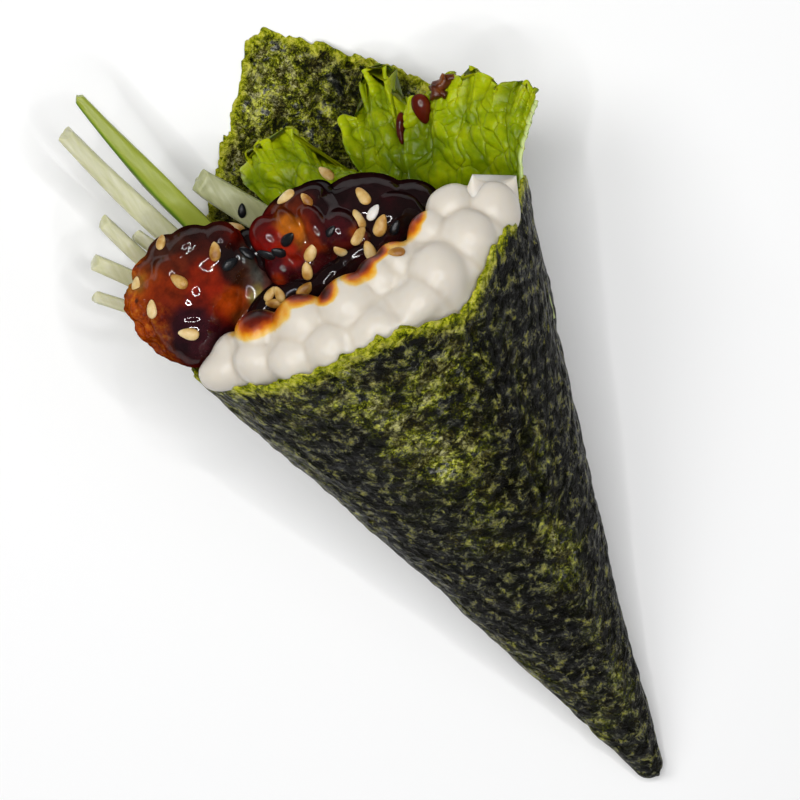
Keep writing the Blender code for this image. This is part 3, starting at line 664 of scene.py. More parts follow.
def make_lettuce():
    """Living leaf: lime green and see-through to light, waxy and moist, with painted shade along its veins, in its
    hollows and towards its foot.
    """
    material, shader = new_material("lettuce_leaf_waxy")
    place = add_node(material, "TexCoord").outputs["Object"]
    vein = add_node(material, "Attribute", attribute_name="vein", attribute_type="GEOMETRY").outputs["Fac"]
    near = add_node(material, "Attribute", attribute_name="near_margin", attribute_type="GEOMETRY").outputs["Fac"]
    rib = add_node(material, "Attribute", attribute_name="rib", attribute_type="GEOMETRY").outputs["Fac"]
    patch = add_node(
        material, "TexNoise", {"Vector": place, "Scale": 230.0, "Detail": 5.0, "Roughness": 0.6},
    ).outputs["Fac"]
    blade = add_node(
        material, "ValToRGB", {"Fac": patch},
        stops=((0.36, "#6b8001"), (0.5, "#879a02"), (0.64, "#a3b006")),
    ).outputs[0]
    share = add_node(
        material, "MapRange", {"Value": near, "From Min": 0.6, "From Max": 1.0, "To Max": 0.75},
    ).outputs[0]
    young = add_node(material, "MixRGB", {"Fac": share, "Color1": blade, "Color2": hex_colour("#adb80c")}).outputs[0]
    # Painted shade: darker green in the hollows and towards the foot.
    hollow = add_node(material, "Attribute", attribute_name="hollow", attribute_type="GEOMETRY").outputs["Fac"]
    hollow = add_node(material, "Math", {0: hollow, 1: 0.75}, operation="MULTIPLY").outputs[0]
    young = add_node(material, "MixRGB", {"Fac": hollow, "Color1": young, "Color2": hex_colour("#455a02")}).outputs[0]
    # Painted shade along the veins.
    vein_shaded = add_node(material, "MixRGB", {"Fac": vein, "Color1": young, "Color2": hex_colour("#3e5602")}).outputs[0]
    ribbed = add_node(material, "MixRGB", {"Fac": rib, "Color1": vein_shaded, "Color2": hex_colour("#c3d08c")}).outputs[0]
    fine = add_node(material, "TexNoise", {"Vector": place, "Scale": 1300.0, "Detail": 3.0}).outputs["Fac"]
    bump = add_node(material, "Bump", {"Height": fine, "Strength": 0.25, "Distance": 0.0003}).outputs[0]
    set_inputs(
        material, shader, Base_Color=ribbed, Roughness=0.3, Normal=bump, Specular_IOR_Level=0.2,
        Subsurface_Weight=0.3, Subsurface_Radius=(0.5, 1.0, 0.1), Subsurface_Scale=0.001,
    )
    return material


lettuce = make_lettuce()
for leaf_name, leaf_shape in LEAVES.items():
    leaf_middle, leaf_values = leaf_sheet(**leaf_shape)
    leaf_rings, leaf_values = thick_rings(leaf_middle, LEAF_THICKNESS, leaf_values)
    place_piece(closed_mesh(leaf_name + "_leaf", leaf_rings, leaf_values), lettuce, "lettuce", leaf_name)


# ------------------------------------------------------------------------- cucumber sticks
# Sticks cut from the flesh of a cucumber with a knife, so their sides are flat and their corners
# soft. One keeps a strip of dark skin; each end is torn a little where the knife left it.
# Each stick is (tip, middle, hidden end, width, thickness, width at the tip).
STICKS = (
    ((-23.3, 146.9, 26.0), (-18.6, 124.0, 22.0), (-10.5, 96.0, 16.6), 3.7, 2.6, 1.7),
    ((-28.4, 143.2, 21.5), (-23.6, 124.0, 18.0), (-14.0, 96.0, 12.8), 3.6, 2.8, 2.7),
    ((-30.2, 128.1, 26.2), (-27.6, 118.4, 24.4), (-21.0, 101.0, 21.2), 2.6, 2.4, 2.3),
    ((-26.9, 123.4, 22.6), (-24.4, 117.4, 21.6), (-19.8, 106.0, 19.8), 2.2, 2.2, 2.0),
    ((-34.9, 122.8, 21.4), (-31.0, 117.2, 20.4), (-20.4, 102.0, 17.6), 2.7, 2.5, 2.6),
    ((-37.9, 118.2, 21.0), (-34.8, 114.6, 20.4), (-24.6, 103.6, 18.8), 2.0, 2.2, 1.9),
    ((-13.7, 125.6, 22.2), (-9.0, 116.6, 20.4), (1.0, 98.0, 17.2), 4.6, 3.2, 4.0),
)
STICK_SIDES, STICK_ROWS = 48, 150
STICK_TAPER = 1.0 / 3.0
SQUARENESS = 5.0  # a superellipse's power: 2 is round, and more is squarer


def stick_rings(tip, middle, end, width, thickness, tip_width, seed):
    """Rings of a superellipse along a bent path, |x/a|^n + |y/b|^n = 1, with knife marks along it."""
    tip, middle, end = (np.array(point) for point in (tip, middle, end))
    shown, hidden = np.linalg.norm(middle - tip), np.linalg.norm(end - middle)
    part = shown / (shown + hidden)
    bend = (middle - (1 - part) ** 2 * tip - part**2 * end) / (2 * part * (1 - part))
    t = 0.5 - 0.5 * np.cos(np.linspace(0.0, np.pi, STICK_ROWS))[:, None]
    centre = (1 - t) ** 2 * tip + 2 * t * (1 - t) * bend + t**2 * end
    forward = 2 * (1 - t) * (bend - tip) + 2 * t * (end - bend)
    forward = forward / np.linalg.norm(forward, axis=1, keepdims=True)
    sideways = np.cross(forward, (0.0, 0.0, 1.0))
    sideways = sideways / np.linalg.norm(sideways, axis=1, keepdims=True)
    upright = np.cross(sideways, forward)
    around = np.linspace(0.0, 2 * np.pi, STICK_SIDES, endpoint=False)[None, :]
    cosine, sine = np.cos(around), np.sin(around)
    radius = (np.abs(cosine) ** SQUARENESS + np.abs(sine) ** SQUARENESS) ** (-1.0 / SQUARENESS)
    half_width = (tip_width + (width - tip_width) * np.minimum(1.0, t / STICK_TAPER)) / 2
    length = shown + hidden
    along = t * length
    key = np.stack([cosine * 2.0 + 0 * t, sine * 2.0 + 0 * t, along / 7.0 + 0 * cosine], axis=-1)
    relief = 1.0 + crinkle(key, ((1.4, 0.05), (0.5, 0.035)), seed)
    bite = np.stack([cosine * 1.5 + 0 * t, sine * 1.5 + 0 * t, along / 3.0 + 0 * cosine], axis=-1)
    relief = relief - 0.16 * ramp(along, 3.0, 0.0) * np.abs(lattice_noise(bite, 0.8, seed + 5))
    close = np.sqrt(np.clip(np.minimum(along, length - along) / 0.4, 0.0, 1.0) * 0.99 + 0.01)
    scale = (radius * relief * close)[..., None]
    ring = centre[:, None] + scale * (
        half_width[..., None] * cosine[..., None] * sideways[:, None]
        + thickness / 2 * sine[..., None] * upright[:, None]
    )
    slip = 0.7 * lattice_noise(key * (1, 1, 0), 2.0, seed + 9)[:1] * ramp(along, 1.2, 0.3) * close
    ring = ring + slip[..., None] * forward[:, None]
    skin = ramp(cosine, 0.45, 0.8) * np.ones_like(t)
    core = ramp(along, 8.0, 0.0) * np.ones_like(cosine)
    return ring, {"skin": skin, "tip": core}


def make_cucumber(name, skin_weight, tones):
    """Cucumber flesh: pale, wet and see-through, with faint strands along the cut."""
    material, shader = new_material(name)
    place = add_node(material, "TexCoord").outputs["Object"]
    turned = add_node(material, "Mapping", {"Vector": place, "Rotation": (0.0, 0.0, -0.35), "Scale": (1400.0, 120.0, 900.0)})
    strands = add_node(material, "TexNoise", {"Vector": turned.outputs[0], "Scale": 1.0, "Detail": 3.0})
    flesh = add_node(
        material, "ValToRGB", {"Fac": strands.outputs["Fac"]},
        stops=((0.3, tones[0]), (0.52, tones[1]), (0.72, tones[2])),
    )
    colour = flesh
    if skin_weight:
        skin = add_node(material, "Attribute", attribute_name="skin", attribute_type="GEOMETRY").outputs["Fac"]
        colour = add_node(
            material, "ValToRGB", {"Fac": skin},
            stops=((0.0, "#98a33c"), (0.35, "#7a9422"), (0.7, "#356c0f"), (1.0, "#1b450a")),
        )
        colour = add_node(
            material, "MixRGB", {"Fac": 0.25, "Color1": colour.outputs[0], "Color2": flesh.outputs[0]},
        )
    bump = add_node(material, "Bump", {"Height": strands.outputs["Fac"], "Strength": 0.15, "Distance": 0.0003})
    set_inputs(
        material, shader, Base_Color=colour.outputs[0], Roughness=0.28, Normal=bump.outputs[0], Specular_IOR_Level=0.3,
        Subsurface_Weight=0.45, Subsurface_Radius=(1.0, 1.0, 0.5), Subsurface_Scale=0.0016,
    )
    return material


cucumber = make_cucumber("cucumber_flesh_wet", False, ("#bdbd94", "#c5c4a2", "#cdccb0"))
cucumber_skin = make_cucumber("cucumber_flesh_with_skin", True, ("#84902c", "#929c38", "#a2aa46"))
cucumber_grey = make_cucumber("cucumber_flesh_shaded", False, ("#9a9d72", "#a5a77e", "#b1b38c"))
for number, stick in enumerate(STICKS, start=1):
    rings, looks = stick_rings(*stick, seed=50 + number)
    flesh = {1: cucumber_skin, 7: cucumber_grey}.get(number, cucumber)
    place_piece(closed_mesh(f"cucumber_{number}_cut", rings, looks), flesh, "cucumber", f"cucumber_stick_{number}")


# -------------------------------------------------------------------------- glazed fish
# Two chunks of fried fish, brushed with a thick sweet glaze that pools in the hollows. The left
# chunk's outer side stays rough and orange, where the crust shows through.
# Lumps are (x, y, z, radius x, radius y, radius z); the later ones are swellings of the glaze.
LEFT_LUMPS = (
    (-23.0, 110.4, 34.6, 10.6, 9.2, 8.4), (-27.4, 108.4, 32.0, 6.2, 7.6, 7.4), (-18.8, 113.8, 34.8, 7.6, 5.6, 7.4),
    (-15.4, 106.6, 33.6, 5.8, 6.4, 6.6), (-19.0, 99.0, 31.4, 8.5, 7.0, 6.6), (-15.0, 92.0, 27.0, 8.0, 11.0, 6.0),
    (-26.4, 105.8, 37.8, 5.6, 5.9, 5.0), (-20.2, 118.0, 36.8, 4.2, 2.7, 4.4), (-15.4, 116.0, 37.4, 3.4, 3.2, 4.6),
    (-22.4, 110.8, 39.6, 3.8, 4.4, 3.6), (-24.6, 115.4, 38.4, 3.0, 3.4, 3.6), (-19.6, 107.0, 38.8, 2.6, 3.0, 3.0),
    (-30.2, 113.4, 35.2, 4.0, 3.6, 5.0), (-26.8, 116.8, 34.8, 3.4, 2.8, 4.4), (-23.6, 118.8, 35.2, 3.0, 2.4, 4.0), (-23.4, 103.0, 37.2, 3.6, 2.4, 3.0),
    (-18.4, 103.6, 37.4, 2.4, 2.0, 2.6), (-13.8, 111.2, 37.8, 2.2, 3.0, 3.2), (-31.8, 110.2, 34.4, 2.4, 3.6, 4.4),
)
RIGHT_LUMPS = (
    (-3.0, 109.0, 35.6, 8.4, 8.2, 8.0), (-7.4, 103.4, 34.0, 5.6, 5.0, 6.0), (5.6, 107.0, 34.2, 8.6, 7.4, 7.2),
    (12.6, 104.6, 33.6, 5.6, 4.8, 6.2), (4.6, 99.4, 31.0, 13.5, 7.0, 7.0), (4.0, 91.0, 27.5, 12.0, 11.0, 6.0),
    (-8.4, 112.4, 39.8, 3.2, 3.8, 4.0), (-4.9, 112.0, 41.6, 1.9, 4.0, 3.0), (-1.6, 109.6, 41.8, 2.1, 4.8, 3.2),
    (1.6, 107.8, 41.0, 3.2, 3.4, 3.9), (-9.2, 107.2, 39.6, 2.9, 3.2, 3.8), (-5.4, 105.4, 40.0, 3.2, 2.6, 3.2),
    (4.0, 104.8, 40.2, 2.0, 2.2, 2.8), (-5.8, 109.2, 41.0, 2.0, 2.0, 2.6), (-1.2, 114.6, 38.6, 4.2, 2.4, 3.6),
)
VOXEL = 0.33
# Patches of colour are (x, y, radius x, radius y, colour), each laid over the ones before it.
LEFT_PAINT = (
    (-24.0, 110.0, 30.0, 30.0, "#641206"), (-33.6, 112.0, 5.0, 9.0, "#99400a"), (-29.6, 117.4, 5.2, 3.6, "#8a3a0c"),
    (-32.6, 106.6, 3.0, 4.6, "#963506"), (-26.0, 113.4, 3.6, 3.0, "#7d2606"), (-31.4, 117.4, 2.6, 1.8, "#7c6a1e"),
    (-18.6, 119.4, 8.5, 3.4, "#28100c"), (-24.0, 119.6, 4.0, 2.2, "#3a1c12"), (-16.0, 113.6, 3.4, 4.4, "#160a0a"),
    (-19.6, 116.2, 3.0, 2.2, "#3c130b"), (-23.2, 115.8, 2.2, 2.2, "#5c200d"), (-19.8, 112.6, 2.0, 2.4, "#7c1f07"),
    (-21.6, 109.0, 3.2, 3.0, "#7e1c06"), (-18.2, 106.6, 2.6, 2.4, "#8f3408"), (-18.4, 104.2, 2.0, 1.2, "#6e3210"),
    (-27.6, 105.8, 5.8, 5.8, "#1d0a10"), (-26.4, 107.2, 3.0, 2.4, "#2c0c14"), (-25.0, 103.2, 3.8, 2.6, "#300d14"),
    (-29.6, 111.6, 2.4, 2.2, "#4a0d08"),
    (-21.4, 101.4, 4.0, 2.0, "#250a0d"), (-13.4, 108.6, 1.9, 3.0, "#484640"), (-15.0, 105.6, 1.5, 1.5, "#8f7f3c"),
    (-12.6, 112.0, 2.0, 2.0, "#2c2a22"), (-15.8, 109.2, 1.6, 2.6, "#30170c"),
)
RIGHT_PAINT = (
    (0.0, 106.0, 30.0, 20.0, "#1d0b0c"), (-8.8, 112.6, 3.4, 3.9, "#7a0f0a"), (-8.0, 115.2, 3.0, 2.0, "#4c0d0b"),
    (-5.0, 112.2, 1.5, 3.2, "#a5590f"), (-6.8, 110.4, 1.5, 2.2, "#8c1c08"), (-3.4, 114.6, 3.0, 1.4, "#541e0c"),
    (-2.4, 110.0, 1.3, 3.6, "#7e2a08"), (-0.8, 110.6, 1.4, 3.6, "#4a0e0a"), (-4.4, 107.4, 1.4, 1.6, "#8a2c08"),
    (1.4, 108.0, 3.2, 3.2, "#380b10"), (3.4, 106.2, 1.2, 1.6, "#74300d"), (-9.4, 107.2, 2.6, 2.6, "#3f0a10"),
    (-10.4, 105.8, 1.2, 1.4, "#7c240a"), (-5.2, 104.6, 3.2, 1.8, "#33090c"), (-6.4, 107.6, 1.4, 1.6, "#681209"),
    (3.0, 103.4, 2.4, 1.4, "#2b0a0c"), (0.2, 104.6, 2.0, 1.6, "#4a120c"),
)


def ball(centre, radii, sides=28, rings=18):
    """An ellipsoid as rings: centre + radii * (sin p cos q, sin p sin q, cos p), poles nearly shut."""
    polar = np.linspace(0.02, math.pi - 0.02, rings)[:, None]
    turn = np.linspace(0.0, 2 * math.pi, sides, endpoint=False)[None, :]
    sphere = np.stack([np.sin(polar) * np.cos(turn), np.sin(polar) * np.sin(turn), np.cos(polar) + 0 * turn], axis=-1)
    return np.asarray(centre) + np.asarray(radii) * sphere


def mesh_points(mesh):
    """The mesh's points in the roll's millimetres."""
    values = np.empty(len(mesh.vertices) * 3)
    mesh.vertices.foreach_get("co", values)
    return values.reshape(-1, 3) / MM - ROLL_TO_ROW


def fused_mesh(name, shells, voxel, smoothing):
    """Closed shells joined into one even skin by a voxel remesh, then smoothed this many times."""
    points, faces, offset = [], [], 0
    for rings in shells:
        part = closed_mesh(name + "_part", rings)
        points.append(mesh_points(part))
        faces += [[offset + i for i in polygon.vertices] for polygon in part.polygons]
        offset += len(part.vertices)
        bpy.data.meshes.remove(part)
    joined = bpy.data.meshes.new(name)
    joined.from_pydata(((np.concatenate(points) + ROLL_TO_ROW) * MM).tolist(), [], faces)
    holder = bpy.data.objects.new(name + "_holder", joined)
    bpy.context.scene.collection.objects.link(holder)
    remesh = holder.modifiers.new("one_skin", "REMESH")
    remesh.mode, remesh.voxel_size = "VOXEL", voxel * MM
    smooth = holder.modifiers.new("soften", "SMOOTH")
    smooth.factor, smooth.iterations = 0.5, smoothing
    bpy.context.view_layer.update()
    skin = bpy.data.meshes.new_from_object(holder.evaluated_get(bpy.context.evaluated_depsgraph_get()))
    bpy.data.objects.remove(holder)
    bpy.data.meshes.remove(joined)
    skin.name = name
    skin.shade_smooth()
    return skin


def swell_mesh(mesh, heights):
    """Moves every point along its own normal by its height and returns the new points."""
    normals = np.empty(len(mesh.vertices) * 3, np.float32)
    mesh.vertex_normals.foreach_get("vector", normals)
    points = mesh_points(mesh) + heights[:, None] * normals.reshape(-1, 3)
    mesh.vertices.foreach_set("co", ((points + ROLL_TO_ROW) * MM).ravel())
    mesh.update()
    return points


def store_value(mesh, name, values):
    """Stores one number for each point."""
    mesh.attributes.new(name, "FLOAT", "POINT").data.foreach_set("value", np.asarray(values, np.float32).ravel())


def paint_mesh(mesh, points, patches, seed):
    """Stores a colour per point, mixed patch by patch: each covers by exp(-(distance in radii)^4)."""
    warp = np.stack([crinkle(points, ((3.6, 0.8), (1.5, 0.6), (0.7, 0.25)), seed + i) for i in (0, 7)], axis=-1)
    colours = np.zeros((len(points), 4)) + hex_colour(patches[0][4])
    for x, y, radius_x, radius_y, text in patches:
        off = np.hypot((points[:, 0] + warp[:, 0] - x) / radius_x, (points[:, 1] + warp[:, 1] - y) / radius_y)
        cover = np.exp(-off**4)[:, None]
        colours = colours * (1 - cover) + np.array(hex_colour(text)) * cover
    layer = mesh.attributes.new("paint", "FLOAT_COLOR", "POINT")
    layer.data.foreach_set("color", np.asarray(colours, np.float32).ravel())


def make_glaze():
    """Fish under sweet soy glaze: clear red-brown syrup, mirror smooth but for the crumbed side."""
    material, shader = new_material("fish_under_soy_glaze")
    place = add_node(material, "TexCoord").outputs["Object"]
    paint = add_node(material, "Attribute", attribute_name="paint", attribute_type="GEOMETRY").outputs["Color"]
    crumb = add_node(material, "Attribute", attribute_name="crumb", attribute_type="GEOMETRY").outputs["Fac"]
    grain = add_node(
        material, "TexNoise", {"Vector": place, "Scale": 900.0, "Detail": 5.0, "Roughness": 0.7},
    ).outputs["Fac"]
    crust = add_node(
        material, "ValToRGB", {"Fac": grain},
        stops=((0.34, "#4a1504"), (0.45, "#852f06"), (0.55, "#a84a0b"), (0.68, "#c4781f")),
    ).outputs[0]
    cloud = add_node(material, "TexNoise", {"Vector": place, "Scale": 420.0, "Detail": 4.0, "Roughness": 0.6}).outputs["Fac"]
    depth = add_node(
        material, "MapRange",
        {"Value": cloud, "From Min": 0.32, "From Max": 0.68, "To Min": 0.5, "To Max": 1.3},
    ).outputs[0]
    glazed = add_node(
        material, "VectorMath", {0: paint, "Scale": depth}, operation="SCALE",
    ).outputs[0]
    share = add_node(material, "Math", {0: crumb, 1: 0.6}, operation="MULTIPLY").outputs[0]
    colour = add_node(material, "MixRGB", {"Fac": share, "Color1": glazed, "Color2": crust}).outputs[0]
    specks = add_node(material, "TexVoronoi", {"Vector": place, "Scale": 330.0}).outputs["Distance"]
    specks = add_node(
        material, "MapRange",
        {"Value": specks, "From Min": 0.1, "From Max": 0.17, "To Min": 1.0, "To Max": 0.0},
    ).outputs[0]
    specks = add_node(material, "Math", {0: specks, 1: crumb}, operation="MULTIPLY", use_clamp=True).outputs[0]
    colour = add_node(material, "MixRGB", {"Fac": specks, "Color1": colour, "Color2": hex_colour("#1c0c06")}).outputs[0]
    roughness = add_node(material, "MapRange", {"Value": crumb, "To Min": 0.03, "To Max": 0.4}).outputs[0]
    waves = add_node(material, "TexNoise", {"Vector": place, "Scale": 380.0, "Detail": 1.0}).outputs["Fac"]
    height = add_node(material, "Mix", {0: crumb, 2: waves, 3: grain}, data_type="FLOAT").outputs[0]
    bump = add_node(material, "Bump", {"Height": height, "Strength": 0.2, "Distance": 0.0006}).outputs[0]
    gloss = add_node(material, "MapRange", {"Value": crumb, "To Min": 0.45, "To Max": 0.15}).outputs[0]
    gloss = gloss_face_on(material, gloss)
    set_inputs(material, shader, Base_Color=colour, Roughness=roughness, Normal=bump, Specular_IOR_Level=gloss)
    return material


glaze = make_glaze()
fish_pieces = []
for fish_name, lumps, patches, crumb_edge, seed in (
    ("glazed_fish_left", LEFT_LUMPS, LEFT_PAINT, -30.2, 70),
    ("glazed_fish_right", RIGHT_LUMPS, RIGHT_PAINT, -60.0, 90),
):
    skin = fused_mesh(fish_name + "_chunk", [ball(lump[:3], lump[3:]) for lump in lumps], VOXEL, 9)
    points = mesh_points(skin)
    lean = points[:, 0] - 0.25 * (points[:, 1] - 110.0) + 2.4 * lattice_noise(points, 3.0, seed)
    crumb = ramp(lean, crumb_edge + 2.0, crumb_edge - 2.0)
    relief = crinkle(points, ((6.0, 0.38), (2.8, 0.12), (1.4, 0.03)), seed)
    points = swell_mesh(skin, relief + crumb * crinkle(points, ((1.6, 0.4), (0.8, 0.28)), seed + 3))
    paint_mesh(skin, points, patches, seed)
    store_value(skin, "crumb", crumb)
    fish_pieces.append(place_piece(skin, glaze, "fish", fish_name))


# ---------------------------------------------------------------------------- piped cream
# Cream cheese piped in small pearls along the front of the mouth, with a pulled peak at its end.
# Glaze that ran down from the fish has stained the upper edge amber.
# Pearls are (x, y, z, radius across, radius along).
PEARLS = (
    (-24.4, 98.6, 43.6, 4.4, 2.8), (-19.6, 97.3, 47.4, 3.4, 3.4), (-17.4, 101.0, 46.6, 3.5, 3.3),
    (-14.7, 95.0, 50.6, 3.5, 3.3), (-10.9, 98.6, 49.0, 4.4, 4.3), (-9.0, 93.6, 52.6, 3.6, 3.4),
    (-3.2, 97.2, 50.4, 4.8, 4.6), (-1.4, 92.6, 53.4, 3.8, 3.2), (2.9, 98.2, 49.8, 3.0, 3.8),
    (6.6, 98.6, 48.8, 3.1, 3.9), (5.8, 92.6, 52.6, 4.6, 3.6), (11.0, 94.6, 50.6, 4.9, 4.7),
    (13.4, 100.8, 46.8, 3.0, 2.9), (17.8, 96.8, 47.8, 4.3, 4.3), (18.3, 102.2, 44.8, 3.7, 2.9),
    (23.4, 98.6, 43.6, 4.2, 4.6),
)
# What was piped first shows between them: (x, y, z, radius).
LOWER_PEARLS = (
    (-20.8, 97.2, 45.0, 3.2), (-16.8, 95.6, 47.8, 3.4), (-11.8, 94.6, 50.2, 3.6), (-5.2, 93.4, 51.4, 3.8),
    (2.2, 93.0, 51.4, 3.8), (9.0, 91.8, 50.8, 3.6), (14.8, 93.6, 48.8, 3.8), (20.6, 95.6, 45.4, 3.8),
    (24.6, 98.0, 41.0, 2.8), (-14.0, 98.2, 47.4, 3.6), (-6.8, 96.2, 49.4, 3.8), (0.2, 95.8, 49.8, 3.8),
    (5.0, 96.2, 49.2, 3.8), (8.8, 97.6, 48.2, 3.6), (14.6, 98.2, 46.8, 3.6), (21.0, 99.6, 43.6, 3.6),
    (-22.0, 99.4, 43.6, 3.4),
)
PEAK_LEFT, PEAK_RIGHT = (23.7, 105.0, 46.8), (29.6, 101.2, 44.6)  # where the last pearl was pulled off
PEAK_ROOT, PEAK_SIZE = (22.6, 97.6, 43.6), (4.9, 4.0)
CREAM_LOW = 0.36  # the body's lower edge, in parts of the radius inside the wall
CREAM_BODY = (84.0, 111.0)
CREAM_CAP = np.array(((0.0, 0.0), (0.4, 0.5), (0.7, 1.2), (0.8, 2.4)))  # its rounded top: along, inwards
# Stains are (x, y, radius x, radius y), centred on the edge that the glaze reached.
STAINS = (
    (-16.0, 104.6, 4.4, 3.4), (-8.0, 103.6, 3.2, 1.9), (-5.2, 102.0, 1.8, 1.8), (1.2, 102.2, 2.8, 2.2),
    (4.4, 103.0, 2.0, 1.8), (9.6, 104.2, 2.8, 2.6), (12.6, 104.6, 1.8, 1.6),
)


def cream_body():
    """The cream behind the pearls: a segment of the mouth, cut off by a chord, with a rounded top."""
    along = np.concatenate([np.linspace(*CREAM_BODY, 12, endpoint=False), CREAM_BODY[1] + CREAM_CAP[:, 0]])[:, None]
    inset = np.concatenate([np.zeros(12), CREAM_CAP[:, 1]])[:, None]
    inner = along * math.tan(HALF_ANGLE) - (1.3 + waist(along)) / math.cos(HALF_ANGLE) - inset
    low = np.arcsin(CREAM_LOW + inset / inner)
    turn = low + np.linspace(0.0, 1.0, 40) * (math.pi - 2 * low)
    across, upward = inner * np.cos(turn), inner * np.sin(turn)
    return TABLE_LINE_START + along[..., None] * AXIS + across[..., None] * ACROSS + upward[..., None] * UPWARD


def pulled_peak():
    """A pearl pinched off: rings that pass from an ellipse round the root to a thin, dipping ridge."""
    left, right, root = np.array(PEAK_LEFT), np.array(PEAK_RIGHT), np.array(PEAK_ROOT)
    ridge, middle = unit(right - left), (left + right) / 2
    pull = unit(middle - root)
    lift = unit(np.cross(ridge, pull))
    share = np.linspace(0.0, 1.0, 40)[:, None, None]
    turn = np.linspace(0.0, 2 * math.pi, 64, endpoint=False)[None, :, None]
    cosine, sine = np.cos(turn), np.sin(turn)
    round_root = PEAK_SIZE[0] * cosine * ridge + PEAK_SIZE[1] * sine * lift
    half = np.linalg.norm(right - left) / 2
    thin_ridge = half * cosine * ridge + 0.25 * sine * lift + 1.3 * (np.abs(cosine) ** 3 - 1.0) * pull
    pinch = share**1.5
    return root + share * (middle - root) + (1.0 - pinch) * round_root + pinch * thin_ridge


def make_cream():
    """Cream cheese: warm white, soft edged where light sinks in, stained amber by the glaze; painted shade darkens its
    creases and its lower parts.
    """
    material, shader = new_material("cream_cheese_smooth")
    place = add_node(material, "TexCoord").outputs["Object"]
    stain = add_node(material, "Attribute", attribute_name="stain", attribute_type="GEOMETRY").outputs["Fac"]
    crease = add_node(material, "Attribute", attribute_name="crease", attribute_type="GEOMETRY").outputs["Fac"]
    wash = add_node(material, "TexNoise", {"Vector": place, "Scale": 700.0, "Detail": 3.0}).outputs["Fac"]
    wash = add_node(
        material, "MapRange",
        {"Value": wash, "From Min": 0.3, "From Max": 0.7, "To Min": -0.04, "To Max": 0.04},
    ).outputs[0]
    soaked = add_node(material, "Math", {0: stain, 1: wash}, operation="ADD", use_clamp=True).outputs[0]
    soaked = add_node(
        material, "ValToRGB", {"Fac": soaked},
        stops=(
            (0.12, "#d6cfc3"), (0.19, "#ddb95e"), (0.3, "#d8920f"), (0.44, "#b04c06"),
            (0.62, "#6a1804"), (0.85, "#220806"),
        ),
    ).outputs[0]
    # Painted shade: a darker white in the creases between the pearls.
    white = add_node(
        material, "MixRGB", {"Fac": crease, "Color1": hex_colour("#d6cfc3"), "Color2": hex_colour("#cec5b6")},
    ).outputs[0]
    # Painted shade: the cream darkens lower down.
    height = add_node(material, "SeparateXYZ", {"Vector": place}).outputs["Z"]
    low_shade = add_node(
        material, "MapRange",
        {"Value": height, "From Min": 0.033, "From Max": 0.041, "To Min": 0.8, "To Max": 0.97},
    ).outputs[0]
    white = add_node(material, "VectorMath", {0: white, "Scale": low_shade}, operation="SCALE").outputs[0]
    share = add_node(material, "MapRange", {"Value": stain, "From Min": 0.1, "From Max": 0.18}).outputs[0]
    colour = add_node(material, "MixRGB", {"Fac": share, "Color1": white, "Color2": soaked}).outputs[0]
    fine = add_node(material, "TexNoise", {"Vector": place, "Scale": 300.0, "Detail": 2.0}).outputs["Fac"]
    bump = add_node(material, "Bump", {"Height": fine, "Strength": 0.12, "Distance": 0.0005}).outputs[0]
    set_inputs(
        material, shader, Base_Color=colour, Roughness=0.33, Normal=bump, Specular_IOR_Level=0.4,
        Subsurface_Weight=0.6, Subsurface_Radius=(1.0, 0.85, 0.65), Subsurface_Scale=0.0018,
    )
    return material


pearls = [ball(pearl[:3], (pearl[3], pearl[4], (pearl[3] + pearl[4]) / 2)) for pearl in PEARLS]
pearls += [ball(pearl[:3], (pearl[3],) * 3) for pearl in LOWER_PEARLS]
cream_skin = fused_mesh("piped_cream_pearls", [cream_body()] + pearls, 1.25 * VOXEL, 26)
points = mesh_points(cream_skin)
points = swell_mesh(cream_skin, 0.5 + crinkle(points, ((5.0, 0.35), (2.4, 0.14)), 120))
warped = points[:, :2] + np.stack([crinkle(points, ((2.4, 0.55), (1.0, 0.12)), 131 + i) for i in (0, 6)], axis=-1)
soak = np.zeros(len(points))
for x, y, radius_x, radius_y in STAINS:
    soak = np.maximum(soak, 0.9 * np.exp(-(((warped[:, 0] - x) / radius_x) ** 2) - ((warped[:, 1] - y) / radius_y) ** 2))
store_value(cream_skin, "stain", soak)
# Where two pearls meet, for the painted shade in the creases.
centres, sizes = np.array([pearl[:3] for pearl in PEARLS]), np.array([(pearl[3] + pearl[4]) / 2 for pearl in PEARLS])
gaps = np.sort(np.linalg.norm(points[:, None] - centres[None], axis=-1) - sizes, axis=1)
store_value(cream_skin, "crease", ramp(gaps[:, 1] - gaps[:, 0], 1.1, 0.0))
cream = make_cream()
cream_piece = place_piece(cream_skin, cream, "cream", "piped_cream")
peak_rings = pulled_peak()
no_stain = {"stain": np.zeros(peak_rings.shape[:2]), "crease": np.zeros(peak_rings.shape[:2])}
place_piece(closed_mesh("piped_cream_peak", peak_rings, no_stain), cream, "cream", "piped_cream")


